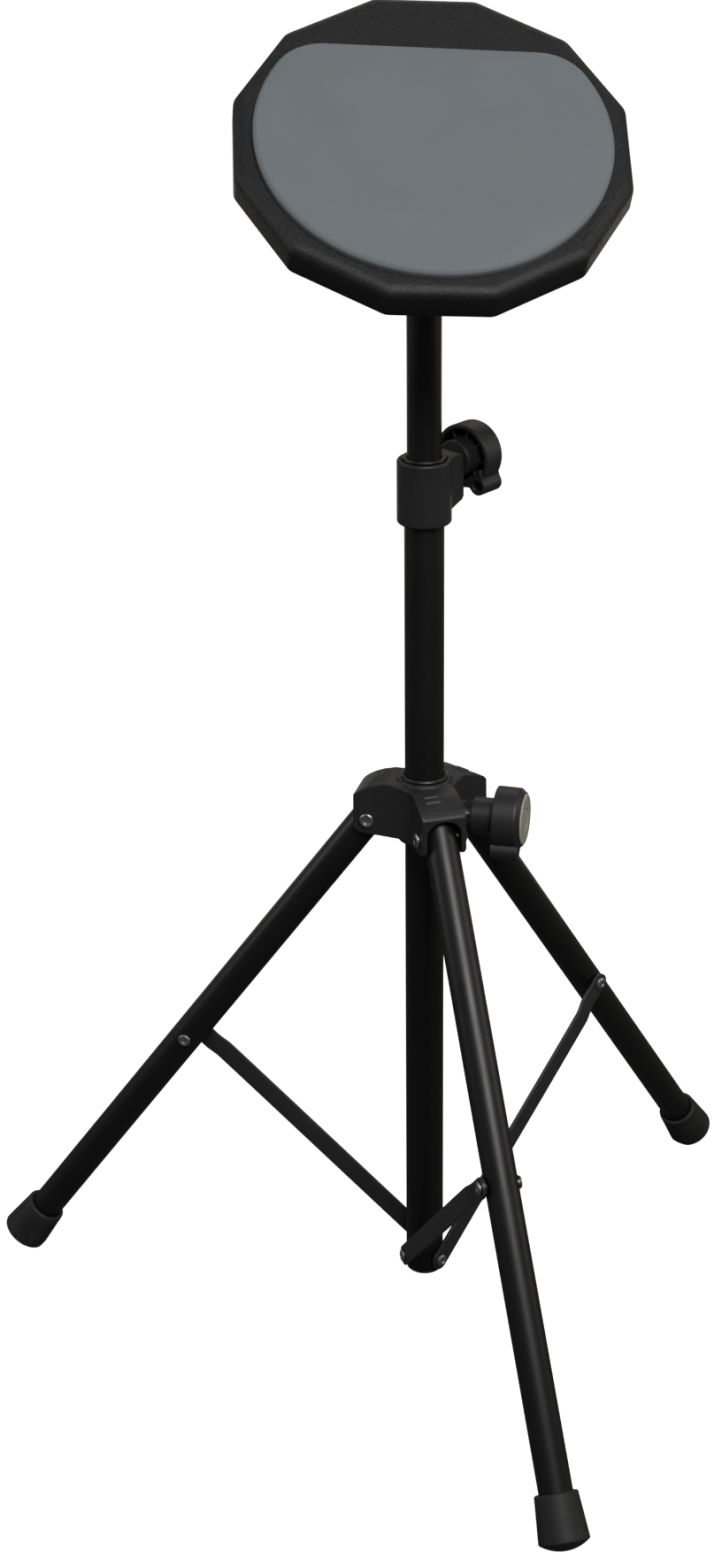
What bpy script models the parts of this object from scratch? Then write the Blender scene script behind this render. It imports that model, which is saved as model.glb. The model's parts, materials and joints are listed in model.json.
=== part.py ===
"""Practice pad on a folding tripod stand.

The column stands on the Z axis of the "stand" empty, the floor is z = 0 and the player sits towards -Y.
An azimuth is measured from the player's side (-Y) towards +X. At the end the stand is moved sideways so
that the origin is the middle of the object's footprint on the floor.
"""

import math

import bmesh
import bpy
from mathutils import Matrix, Vector

MM = 0.001
DEG = math.pi / 180
GAP = 0.3 * MM                     # air kept between neighbouring pieces

# Sides of the round pieces
LARGE = 28
SMOOTH = 22
SMALL = 12
HOLE = 9

# Tubes
COLUMN_RADIUS = 11.1 * MM
MAST_RADIUS = 9.525 * MM
LEG_RADIUS = 9.525 * MM
TUBE_WALL = 1.2 * MM
COLUMN_BOTTOM = 23 * MM
COLUMN_TOP = 512 * MM
MAST_BOTTOM = 330 * MM
MAST_TOP = 650 * MM

# Folding legs and their struts
LEG_NAMES = ("front", "right", "left")
FIRST_LEG_AZIMUTH = 16.8 * DEG
LEG_PIVOT_RADIUS = 30.5 * MM
LEG_PIVOT_HEIGHT = 322.5 * MM
LEG_SPREAD = 36 * DEG              # from the vertical
LEG_TOP = 7 * MM                   # tube above its pivot
LEG_LENGTH = 385 * MM              # tube below its pivot
STRUT_PIN_ON_LEG = 196.5 * MM      # down the leg from its pivot
STRUT_PIN_HEIGHT = 30 * MM         # on the column
STRUT_WIDTH = 12 * MM
STRUT_THICKNESS = 2 * MM
STRUT_SIDE_AT_COLUMN = -12.6 * MM  # middle of the bar, sideways from the leg's plane
STRUT_SIDE_AT_BEND = -13.4 * MM
STRUT_SIDE_AT_LEG = -11.6 * MM
RIVET_RADIUS = 2.5 * MM
RIVET_HEAD_RADIUS = 4 * MM

# Rubber feet
FOOT_RIM = 363.5 * MM              # down the leg from its pivot
FOOT_EDGE = 389.5 * MM
FOOT_RIM_RADIUS = 12.25 * MM
FOOT_EDGE_RADIUS = 14.25 * MM
FOOT_DOME_RADIUS = 22.8 * MM

# Hub that slides on the column
HUB_RADIUS = 15.4 * MM
HUB_TOP = 347.5 * MM
HUB_BOTTOM = 309.5 * MM
LOBE_REACH = 39 * MM
LOBE_INNER_END = 8 * MM
LOBE_TOP = 23.6 * MM               # from the leg pivot
LOBE_BOTTOM = -8 * MM
LOBE_HALF_WIDTH = 13 * MM
ARCH_RADIUS = 9.9 * MM
ARCH_CENTRE = 4.5 * MM             # above the leg pivot
ARCH_HEIGHT = 8.2 * MM             # of its elliptical top
ARCH_INNER_END = 17.3 * MM
BUSH_WALL = 1.2 * MM

# Clamp collar on top of the column
COLLAR_RADIUS = 15.1 * MM
COLLAR_BOTTOM = 499.5 * MM
COLLAR_TOP = 535.5 * MM
COLLAR_BOSS_REACH = 24.2 * MM
COLLAR_BOSS_HALF_WIDTH = 8.2 * MM
COLLAR_BOSS_DROP = 20.5 * MM      # lower end of the boss's face, down from the knob's axis

# Clamp knobs
KNOB_RADIUS = 17.5 * MM
KNOB_DEPTH = 16.7 * MM
KNOB_WALL = 2.2 * MM
KNOB_NECK_RADIUS = 10.5 * MM
KNOB_LUG_OFFSET = 18.9 * MM
KNOB_LUG_RADIUS = 5.3 * MM
KNOB_CAP_RADIUS = 14.7 * MM
STUD_RADIUS = 3 * MM
INSERT_RADIUS = 4.5 * MM
HEIGHT_KNOB_AZIMUTH = 140 * DEG
HEIGHT_KNOB_Z = 529 * MM
HUB_KNOB_AZIMUTH = FIRST_LEG_AZIMUTH + 60 * DEG
HUB_KNOB_Z = 326.4 * MM

# Tilter under the pad
TILT_PIVOT_Z = 670.3 * MM
TILT = 35.15 * DEG
TILT_AZIMUTH = 8.96 * DEG
TONGUE_HALF_WIDTH = 6.7 * MM
EAR_INNER = 7.1 * MM
EAR_OUTER = 11 * MM
EAR_RADIUS = 11 * MM
PLATFORM_BOTTOM = 24 * MM          # from the tilt pivot
PLATFORM_TOP = 29 * MM
PLATFORM_RADIUS = 19 * MM
PAD_STUD_RADIUS = 4 * MM

# Practice pad
PAD_UNDERSIDE = 36 * MM            # from the tilt pivot
PAD_TOP = 54 * MM
PAD_ACROSS_FLATS = 203.2 * MM
PAD_SIDES = 12
PAD_SPIN = 4.85 * DEG
RUBBER_RADIUS = 92.3 * MM
RUBBER_CHORD = 60.75 * MM          # from the pad's centre to the straight edge
RUBBER_FILLET = 28 * MM
RUBBER_TOP = 59 * MM


# ---------------------------------------------------------------- set-up

def clear_scene():
    for obj in list(bpy.data.objects):
        bpy.data.objects.remove(obj)


def make_collection(name):
    collection = bpy.data.collections.new(name)
    bpy.context.scene.collection.children.link(collection)
    return collection


clear_scene()
PARTS = make_collection("practice_pad")
CUTTERS = make_collection("cutters")
GUIDES = make_collection("guides")


def material(name, colour, roughness, metallic=0.0):
    mat = bpy.data.materials.new(name)
    mat.use_nodes = True
    shader = mat.node_tree.nodes["Principled BSDF"]
    shader.inputs["Base Color"].default_value = (*colour, 1)
    shader.inputs["Roughness"].default_value = roughness
    shader.inputs["Metallic"].default_value = metallic
    return mat


COATED = material("powder_coated_steel", (0.012, 0.012, 0.013), 0.38)
PLASTIC = material("textured_black_plastic", (0.016, 0.016, 0.017), 0.5)
NYLON = material("black_nylon", (0.02, 0.02, 0.02), 0.45)
FOOT_RUBBER = material("foot_rubber", (0.018, 0.018, 0.018), 0.8)
PAD_RUBBER = material("pad_rubber", (0.16, 0.18, 0.195), 0.75)
PAD_SHELL = material("pad_base_shell", (0.02, 0.021, 0.023), 0.6)
STRUT_STEEL = material("black_strut_steel", (0.03, 0.03, 0.033), 0.4, 0.6)
STEEL = material("zinc_steel", (0.5, 0.5, 0.51), 0.3, 1.0)
BRASS = material("brass", (0.6, 0.45, 0.2), 0.35, 1.0)
CAP_GREY = material("cap_grey", (0.42, 0.41, 0.38), 0.45)


def empty(name, parent=None, place=(0, 0, 0), turn=(0, 0, 0)):
    obj = bpy.data.objects.new(name, None)
    obj.parent = parent
    obj.location = place
    obj.rotation_euler = turn
    GUIDES.objects.link(obj)
    return obj


def place_mesh(name, mesh, mat, parent, place=(0, 0, 0), turn=(0, 0, 0)):
    """Makes a part from a mesh, or a cutter where it has no material."""
    obj = bpy.data.objects.new(name, mesh)
    obj.parent = parent
    obj.location = place
    obj.rotation_euler = turn
    if mat:
        mesh.materials.append(mat)
        PARTS.objects.link(obj)
    else:
        obj.hide_render = True
        obj.display_type = "WIRE"
        CUTTERS.objects.link(obj)
    return obj


# ---------------------------------------------------------------- shapes

def arc(centre, radius, start, end, steps):
    """Points on an arc, angles in degrees, both ends included."""
    points = []
    for i in range(steps + 1):
        angle = (start + (end - start) * i / steps) * DEG
        points.append((centre[0] + radius * math.cos(angle), centre[1] + radius * math.sin(angle)))
    return points


def turned(name, profile, mat, parent, place=(0, 0, 0), turn=(0, 0, 0), ring=False, segments=SMOOTH):
    """Turns a profile of (radius, z) about Z; it runs down the outer side, and a ring's profile closes."""
    edges = [(i, i + 1) for i in range(len(profile) - 1)]
    if ring:
        edges.append((len(profile) - 1, 0))
    mesh = bpy.data.meshes.new(name)
    mesh.from_pydata([(radius, 0, z) for radius, z in profile], edges, [])
    obj = place_mesh(name, mesh, mat, parent, place, turn)
    screw = obj.modifiers.new("turn", "SCREW")
    screw.steps = segments
    screw.render_steps = segments
    screw.use_merge_vertices = True
    screw.merge_threshold = 0.00001
    return obj


def rod(name, radius, bottom, top, mat, parent, place=(0, 0, 0), turn=(0, 0, 0), segments=SMALL):
    return turned(name, [(0, top), (radius, top), (radius, bottom), (0, bottom)], mat, parent, place, turn,
                  segments=segments)


def pipe(name, inner, outer, bottom, top, mat, parent, place=(0, 0, 0), turn=(0, 0, 0), segments=SMOOTH):
    profile = [(inner, top), (outer, top), (outer, bottom), (inner, bottom)]
    return turned(name, profile, mat, parent, place, turn, ring=True, segments=segments)


def plate(name, outline, thickness, mat, parent, place=(0, 0, 0), turn=(0, 0, 0)):
    """Extrudes a flat outline both ways from its plane, half the thickness each way."""
    curve = bpy.data.curves.new(name, "CURVE")
    curve.dimensions = "2D"
    curve.fill_mode = "BOTH"
    curve.extrude = thickness / 2
    spline = curve.splines.new("POLY")
    spline.points.add(len(outline) - 1)
    for point, (x, y) in zip(spline.points, outline):
        point.co = (x, y, 0, 1)
    spline.use_cyclic_u = True
    helper = bpy.data.objects.new(name + "_outline", curve)
    GUIDES.objects.link(helper)
    evaluated = helper.evaluated_get(bpy.context.evaluated_depsgraph_get())
    mesh = bpy.data.meshes.new_from_object(evaluated)
    bpy.data.objects.remove(helper)
    work = bmesh.new()
    work.from_mesh(mesh)
    bmesh.ops.remove_doubles(work, verts=work.verts, dist=0.000001)
    bmesh.ops.recalc_face_normals(work, faces=work.faces)
    work.to_mesh(mesh)
    work.free()
    mesh.name = name
    mesh.materials.clear()
    return place_mesh(name, mesh, mat, parent, place, turn)


def block(name, low, high, mat, parent):
    mesh = bpy.data.meshes.new(name)
    work = bmesh.new()
    bmesh.ops.create_cube(work, size=1)
    for vert in work.verts:
        vert.co = Vector([low[i] if vert.co[i] < 0 else high[i] for i in range(3)])
    work.to_mesh(mesh)
    work.free()
    return place_mesh(name, mesh, mat, parent)


def boolean(obj, tool, operation):
    modifier = obj.modifiers.new(operation.lower(), "BOOLEAN")
    modifier.operation = operation
    modifier.object = tool
    modifier.solver = "EXACT"


def cut(obj, tool):
    boolean(obj, tool, "DIFFERENCE")


def join(obj, tool):
    boolean(obj, tool, "UNION")


ALONG_Y = (-90 * DEG, 0, 0)        # turns a piece's Z onto +Y
ALONG_X = (0, 90 * DEG, 0)         # turns a piece's Z onto +X
UPRIGHT = (90 * DEG, 0, 0)         # stands an XY outline up in the XZ plane
EDGEWAYS = (90 * DEG, 0, 90 * DEG)  # stands an XY outline up in the YZ plane


def drill(obj, name, radius, start, end, parent, place=(0, 0, 0), turn=(0, 0, 0)):
    sides = HOLE if radius < 4 * MM else SMOOTH - 1
    cut(obj, rod("cut_" + name, radius, start, end, None, parent, place, turn, segments=sides))


def azimuth_frame(name, azimuth, parent, height=0.0):
    """A frame on the column's axis whose X points outward along an azimuth."""
    return empty(name, parent, (0, 0, height), (0, 0, azimuth - 90 * DEG))


STAND = empty("stand")


# ---------------------------------------------------------------- column and mast

def build_column():
    tube_inner = COLUMN_RADIUS - TUBE_WALL
    pipe("column_tube", tube_inner, COLUMN_RADIUS, COLUMN_BOTTOM, COLUMN_TOP, COATED, STAND, segments=LARGE)
    plug_step = COLUMN_BOTTOM - GAP
    spigot = tube_inner - GAP
    profile = [(0, plug_step + 8 * MM), (spigot, plug_step + 8 * MM), (spigot, plug_step),
               (10.8 * MM, plug_step), (10.8 * MM, plug_step - MM), (9.8 * MM, plug_step - 2 * MM),
               (0, plug_step - 2 * MM)]
    turned("column_bottom_plug", profile, NYLON, STAND)


def build_collar():
    bore = COLUMN_RADIUS + GAP
    profile = [(bore, COLLAR_TOP), (COLLAR_RADIUS - MM, COLLAR_TOP), (COLLAR_RADIUS, COLLAR_TOP - MM),
               (COLLAR_RADIUS, COLLAR_BOTTOM + MM), (COLLAR_RADIUS - MM, COLLAR_BOTTOM), (bore, COLLAR_BOTTOM)]
    collar = turned("clamp_collar", profile, PLASTIC, STAND, ring=True, segments=LARGE)
    frame = azimuth_frame("height_clamp_frame", HEIGHT_KNOB_AZIMUTH, STAND, HEIGHT_KNOB_Z)
    top = COLLAR_TOP - HEIGHT_KNOB_Z - 0.5 * MM
    round_off = 3 * MM
    outline = [(12.5 * MM, top)]
    outline += arc((COLLAR_BOSS_REACH - round_off, top - round_off), round_off, 90, 0, 4)
    outline += [(COLLAR_BOSS_REACH, -COLLAR_BOSS_DROP), (12.5 * MM, -COLLAR_BOSS_DROP - 5 * MM)]
    join(collar, plate("collar_boss", outline, 2 * COLLAR_BOSS_HALF_WIDTH, None, frame, turn=UPRIGHT))
    drill(collar, "collar_stud_hole", STUD_RADIUS + GAP, 8 * MM, 30 * MM, frame, turn=ALONG_X)
    drill(collar, "collar_insert_hole", INSERT_RADIUS + GAP, 17 * MM, 30 * MM, frame, turn=ALONG_X)
    pipe("collar_insert", STUD_RADIUS + GAP, INSERT_RADIUS, 17.3 * MM, COLLAR_BOSS_REACH - GAP, BRASS, frame,
         turn=ALONG_X, segments=SMALL)

    lip = COLLAR_TOP + GAP
    inner = MAST_RADIUS + GAP
    outer = bore - GAP
    profile = [(inner, lip + 1.2 * MM), (outer + MM, lip + 1.2 * MM), (outer + 1.4 * MM, lip),
               (outer, lip), (outer, COLUMN_TOP + GAP), (inner, COLUMN_TOP + GAP)]
    bush = turned("mast_bush", profile, NYLON, STAND, ring=True)
    drill(bush, "bush_stud_hole", STUD_RADIUS + GAP, 6 * MM, 20 * MM, frame, turn=ALONG_X)
    build_knob("height_knob", frame, stud_start=MAST_RADIUS + 0.4 * MM, neck_start=COLLAR_BOSS_REACH + 0.6 * MM,
               back=32 * MM, lug_angle=-37 * DEG)


def build_mast():
    glide_top = MAST_BOTTOM - GAP
    spigot = MAST_RADIUS - TUBE_WALL - GAP
    glide_radius = COLUMN_RADIUS - TUBE_WALL - GAP
    profile = [(0, glide_top + 12 * MM), (spigot, glide_top + 12 * MM), (spigot, glide_top),
               (glide_radius, glide_top), (glide_radius, glide_top - 24 * MM), (0, glide_top - 24 * MM)]
    turned("mast_glide", profile, NYLON, STAND)
    pipe("mast_tube", MAST_RADIUS - TUBE_WALL, MAST_RADIUS, MAST_BOTTOM, MAST_TOP, COATED, STAND, segments=LARGE)


def build_knob(name, frame, stud_start, neck_start, back, lug_angle):
    """A hollow-backed clamp knob whose axis is the frame's X; the lug is turned from straight down."""
    front = back + KNOB_DEPTH
    web = 7 * MM
    corner = 3.5 * MM
    recess = 1.3 * MM
    blind = front - 4.5 * MM
    axis = empty(name + "_axis", frame, turn=ALONG_X)
    profile = [(0, front - recess), (KNOB_CAP_RADIUS + GAP, front - recess), (KNOB_CAP_RADIUS + GAP, front)]
    profile += arc((KNOB_RADIUS - corner * 0.6, front - corner), corner * 0.6, 60, 0, 3)
    profile += [(KNOB_RADIUS + 0.4 * MM, back), (KNOB_RADIUS - KNOB_WALL, back),
                (KNOB_RADIUS - KNOB_WALL, front - web), (KNOB_NECK_RADIUS, front - web),
                (KNOB_NECK_RADIUS, neck_start), (STUD_RADIUS + GAP, neck_start), (STUD_RADIUS + GAP, blind),
                (0, blind)]
    knob = turned(name, profile, PLASTIC, axis, segments=LARGE)
    lug_place = (KNOB_LUG_OFFSET * math.cos(lug_angle), KNOB_LUG_OFFSET * math.sin(lug_angle), 0)
    join(knob, rod(name + "_lug", KNOB_LUG_RADIUS, back + 0.2 * MM, front - 2.2 * MM, None, axis, lug_place))
    rod(name + "_stud", STUD_RADIUS, stud_start, blind - GAP, STEEL, axis)
    cap_back = front - recess + GAP
    cap_front = front + 0.3 * MM
    profile = [(0, cap_front), (KNOB_CAP_RADIUS - 0.5 * MM, cap_front), (KNOB_CAP_RADIUS, cap_front - 0.4 * MM),
               (KNOB_CAP_RADIUS, cap_back), (0, cap_back)]
    turned(name + "_cap", profile, CAP_GREY, axis, segments=LARGE)


# ---------------------------------------------------------------- hub

def lobe_outline():
    """Side view of one hub lobe: outward from the column, up from the leg's pivot."""
    bottom_round = 3 * MM
    roof = [(LOBE_INNER_END, LOBE_TOP), (20 * MM, LOBE_TOP - 0.3 * MM), (26 * MM, LOBE_TOP - 1.4 * MM),
            (31 * MM, LOBE_TOP - 3.3 * MM), (35 * MM, LOBE_TOP - 5.7 * MM), (37.6 * MM, LOBE_TOP - 7.9 * MM),
            (LOBE_REACH, LOBE_TOP - 10.1 * MM)]
    heel = arc((LOBE_REACH - bottom_round, LOBE_BOTTOM + bottom_round), bottom_round, 0, -90, 3)
    return roof + heel + [(LOBE_INNER_END, LOBE_BOTTOM - 3 * MM)]


def arch_outline():
    """Doorway that a leg passes through: across the lobe, up from the leg's pivot."""
    squash = ARCH_HEIGHT / ARCH_RADIUS
    top = [(across, ARCH_CENTRE + up * squash) for across, up in arc((0, 0), ARCH_RADIUS, 0, 180, 10)]
    return top + [(-ARCH_RADIUS, -20 * MM), (ARCH_RADIUS, -20 * MM)]


def build_hub():
    bush_inner = COLUMN_RADIUS + GAP
    bore = bush_inner + BUSH_WALL + GAP
    pipe_profile = [(bore, HUB_TOP), (HUB_RADIUS - 0.8 * MM, HUB_TOP), (HUB_RADIUS, HUB_TOP - 0.8 * MM),
                    (HUB_RADIUS, HUB_BOTTOM), (bore, HUB_BOTTOM)]
    hub = turned("hub", pipe_profile, PLASTIC, STAND, ring=True, segments=LARGE)
    for index, leg in enumerate(LEG_NAMES):
        frame = azimuth_frame("hub_lobe_frame_" + leg, FIRST_LEG_AZIMUTH + index * 120 * DEG, STAND,
                              LEG_PIVOT_HEIGHT)
        join(hub, plate("lobe_" + leg, lobe_outline(), 2 * LOBE_HALF_WIDTH, None, frame, turn=UPRIGHT))
    frame = azimuth_frame("hub_clamp_frame", HUB_KNOB_AZIMUTH, STAND, HUB_KNOB_Z)
    boss_reach = 23.7 * MM
    join(hub, rod("hub_boss", 8.5 * MM, 13.4 * MM, boss_reach, None, frame, turn=ALONG_X, segments=SMOOTH))
    cut(hub, rod("cut_hub_bore", bore, HUB_BOTTOM - 20 * MM, HUB_TOP + 20 * MM, None, STAND, segments=LARGE))
    for index, leg in enumerate(LEG_NAMES):
        frame_leg = azimuth_frame("arch_frame_" + leg, FIRST_LEG_AZIMUTH + index * 120 * DEG, STAND,
                                  LEG_PIVOT_HEIGHT)
        depth = 30 * MM
        middle = (ARCH_INNER_END + depth / 2, 0, 0)
        cut(hub, plate("cut_arch_" + leg, arch_outline(), depth, None, frame_leg, middle, EDGEWAYS))
        drill(hub, "leg_bolt_hole_" + leg, 3.3 * MM, -20 * MM, 20 * MM, frame_leg, (LEG_PIVOT_RADIUS, 0, 0),
              ALONG_Y)
    drill(hub, "hub_stud_hole", STUD_RADIUS + GAP, 8 * MM, 30 * MM, frame, turn=ALONG_X)
    drill(hub, "hub_insert_hole", INSERT_RADIUS + GAP, 16 * MM, 30 * MM, frame, turn=ALONG_X)
    pipe("hub_insert", STUD_RADIUS + GAP, INSERT_RADIUS, 16.3 * MM, boss_reach - GAP, BRASS, frame,
         turn=ALONG_X, segments=SMALL)

    outer = bush_inner + BUSH_WALL
    lip = HUB_TOP + GAP
    profile = [(bush_inner, lip + 1.6 * MM), (outer + 0.3 * MM, lip + 1.6 * MM), (outer + 0.9 * MM, lip + 0.8 * MM),
               (outer + 0.9 * MM, lip), (outer, lip), (outer, HUB_BOTTOM), (bush_inner, HUB_BOTTOM)]
    bush = turned("hub_bush", profile, NYLON, STAND, ring=True)
    drill(bush, "hub_bush_stud_hole", STUD_RADIUS + GAP, 6 * MM, 20 * MM, frame, turn=ALONG_X)
    build_knob("hub_knob", frame, stud_start=COLUMN_RADIUS + 0.5 * MM, neck_start=28.6 * MM, back=42 * MM,
               lug_angle=-35 * DEG)


# ---------------------------------------------------------------- legs

def foot_profile():
    """Rubber cup on the leg's end; z runs up the leg from its pivot."""
    bore = LEG_RADIUS + GAP
    floor = -LEG_LENGTH - GAP
    dome_centre = -FOOT_EDGE + math.sqrt(FOOT_DOME_RADIUS ** 2 - FOOT_EDGE_RADIUS ** 2)
    edge_angle = -math.degrees(math.acos(FOOT_EDGE_RADIUS / FOOT_DOME_RADIUS))
    profile = [(0, floor), (bore, floor), (bore, -FOOT_RIM), (FOOT_RIM_RADIUS - MM, -FOOT_RIM),
               (FOOT_RIM_RADIUS, -FOOT_RIM - MM)]
    profile += arc((0, dome_centre), FOOT_DOME_RADIUS, edge_angle, -90, 4)
    profile[-1] = (0, dome_centre - FOOT_DOME_RADIUS)
    return profile


def build_leg(leg, azimuth, floor_cutter):
    swing_plane = azimuth_frame(leg + "_plane", azimuth, STAND)
    axis = empty("leg_" + leg + "_axis", swing_plane, (LEG_PIVOT_RADIUS, 0, LEG_PIVOT_HEIGHT),
                 (0, -LEG_SPREAD, 0))
    tube = pipe("leg_tube_" + leg, LEG_RADIUS - TUBE_WALL, LEG_RADIUS, -LEG_LENGTH, LEG_TOP, COATED, axis)
    drill(tube, "leg_pivot_hole_" + leg, 3.3 * MM, -20 * MM, 20 * MM, axis, turn=ALONG_Y)
    pin_place = (0, 0, -STRUT_PIN_ON_LEG)
    drill(tube, "leg_rivet_hole_" + leg, RIVET_RADIUS + GAP, -20 * MM, 20 * MM, axis, pin_place, ALONG_Y)
    rod("leg_top_plug_" + leg, LEG_RADIUS - TUBE_WALL - GAP, LEG_TOP - 2.8 * MM, LEG_TOP, NYLON, axis)

    foot = turned("leg_foot_" + leg, foot_profile(), FOOT_RUBBER, axis)
    cut(foot, floor_cutter)

    head = 4.3 * MM
    cheek = LOBE_HALF_WIDTH + GAP
    profile = [(2.3 * MM, cheek + 1.6 * MM), (head - 0.5 * MM, cheek + 1.6 * MM), (head, cheek + 1.1 * MM),
               (head, cheek), (3 * MM, cheek), (3 * MM, -9 * MM), (2.3 * MM, -9 * MM)]
    turned("leg_barrel_nut_" + leg, profile, STEEL, axis, turn=UPRIGHT, ring=True, segments=SMALL)
    profile = [(0, cheek + 0.4 * MM), (1.9 * MM, cheek + 0.4 * MM), (1.9 * MM, cheek + 1.6 * MM),
               (head - 0.5 * MM, cheek + 1.6 * MM), (head, cheek + 1.1 * MM),
               (head, cheek), (2 * MM, cheek), (2 * MM, -6 * MM), (0, -6 * MM)]
    turned("leg_bolt_" + leg, profile, STEEL, axis, turn=ALONG_Y, segments=SMALL)
    return swing_plane, axis


def strut_geometry():
    """Length between the strut's pins and its angle from the vertical."""
    radial = LEG_PIVOT_RADIUS + STRUT_PIN_ON_LEG * math.sin(LEG_SPREAD)
    rise = LEG_PIVOT_HEIGHT - STRUT_PIN_ON_LEG * math.cos(LEG_SPREAD) - STRUT_PIN_HEIGHT
    return math.hypot(radial, rise), math.atan2(radial, rise)


def build_strut(leg, swing_plane, axis):
    length, angle = strut_geometry()
    pin = empty("strut_" + leg + "_axis", swing_plane,
                (LEG_PIVOT_RADIUS + STRUT_PIN_ON_LEG * math.sin(LEG_SPREAD), 0,
                 LEG_PIVOT_HEIGHT - STRUT_PIN_ON_LEG * math.cos(LEG_SPREAD)), (0, angle, 0))
    half = STRUT_THICKNESS / 2
    reach = 12 * MM
    route = [(STRUT_SIDE_AT_COLUMN, -length - reach), (STRUT_SIDE_AT_COLUMN, -length + reach),
             (STRUT_SIDE_AT_BEND, -24 * MM), (STRUT_SIDE_AT_LEG, -14 * MM), (STRUT_SIDE_AT_LEG, reach)]
    outline = [(side - half, z) for side, z in route] + [(side + half, z) for side, z in reversed(route)]
    strut = plate("strut_" + leg, outline, 2 * STRUT_WIDTH, STRUT_STEEL, pin, turn=EDGEWAYS)
    radius = STRUT_WIDTH / 2
    stadium = arc((0, 0), radius, 0, 180, 8) + arc((0, -length), radius, 180, 360, 8)
    boolean(strut, plate("strut_shape_" + leg, stadium, 60 * MM, None, pin, turn=UPRIGHT), "INTERSECT")
    drill(strut, "strut_leg_hole_" + leg, RIVET_RADIUS + GAP, -20 * MM, 20 * MM, pin, turn=ALONG_Y)
    drill(strut, "strut_column_hole_" + leg, RIVET_RADIUS + GAP, -20 * MM, 20 * MM, pin, (0, 0, -length), ALONG_Y)

    leg_pin = empty("leg_rivet_" + leg + "_axis", axis, (0, 0, -STRUT_PIN_ON_LEG), UPRIGHT)
    outside = -STRUT_SIDE_AT_LEG + half + GAP
    inside = LEG_RADIUS + GAP
    # This axis points away from the strut's free side, so its +Z is the side that carries the strut.
    profile = rivet_head(outside, 1.5 * MM) + [(RIVET_RADIUS, outside), (RIVET_RADIUS, -inside)]
    profile += [(RIVET_HEAD_RADIUS, -inside), (RIVET_HEAD_RADIUS - 0.7 * MM, -inside - 1.3 * MM),
                (0, -inside - 1.3 * MM)]
    turned("leg_rivet_" + leg, profile, STEEL, leg_pin, segments=SMALL)
    pipe("strut_washer_" + leg, RIVET_RADIUS + GAP, RIVET_HEAD_RADIUS + MM, inside,
         -STRUT_SIDE_AT_LEG - half - GAP, NYLON, leg_pin, segments=SMALL)
    column_pin = empty("column_rivet_" + leg + "_axis", pin, (0, 0, -length), UPRIGHT)
    outside = -STRUT_SIDE_AT_COLUMN + half + GAP
    profile = rivet_head(outside, 1.3 * MM) + [(RIVET_RADIUS, outside), (RIVET_RADIUS, COLUMN_RADIUS + GAP),
                                               (0, COLUMN_RADIUS + GAP)]
    turned("column_rivet_" + leg, profile, STEEL, column_pin, segments=SMALL)


def rivet_head(seat, height):
    """Domed head with a punched centre, from its middle out and down to its seat."""
    dimple = 1.2 * MM
    return [(0, seat + height - 0.6 * MM), (dimple, seat + height - 0.5 * MM), (dimple + 0.3 * MM, seat + height),
            (RIVET_HEAD_RADIUS - 1.2 * MM, seat + height - 0.1 * MM),
            (RIVET_HEAD_RADIUS - 0.2 * MM, seat + height * 0.4), (RIVET_HEAD_RADIUS, seat)]


def build_legs():
    floor_cutter = block("cut_floor", (-1, -1, -0.1), (1, 1, 0), None, STAND)
    for index, leg in enumerate(LEG_NAMES):
        swing_plane, axis = build_leg(leg, FIRST_LEG_AZIMUTH + index * 120 * DEG, floor_cutter)
        build_strut(leg, swing_plane, axis)


# ---------------------------------------------------------------- tilter

def hexagon(across_flats):
    radius = across_flats / 2 / math.cos(30 * DEG)
    return [(radius * math.cos(i * 60 * DEG), radius * math.sin(i * 60 * DEG)) for i in range(6)]


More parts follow.
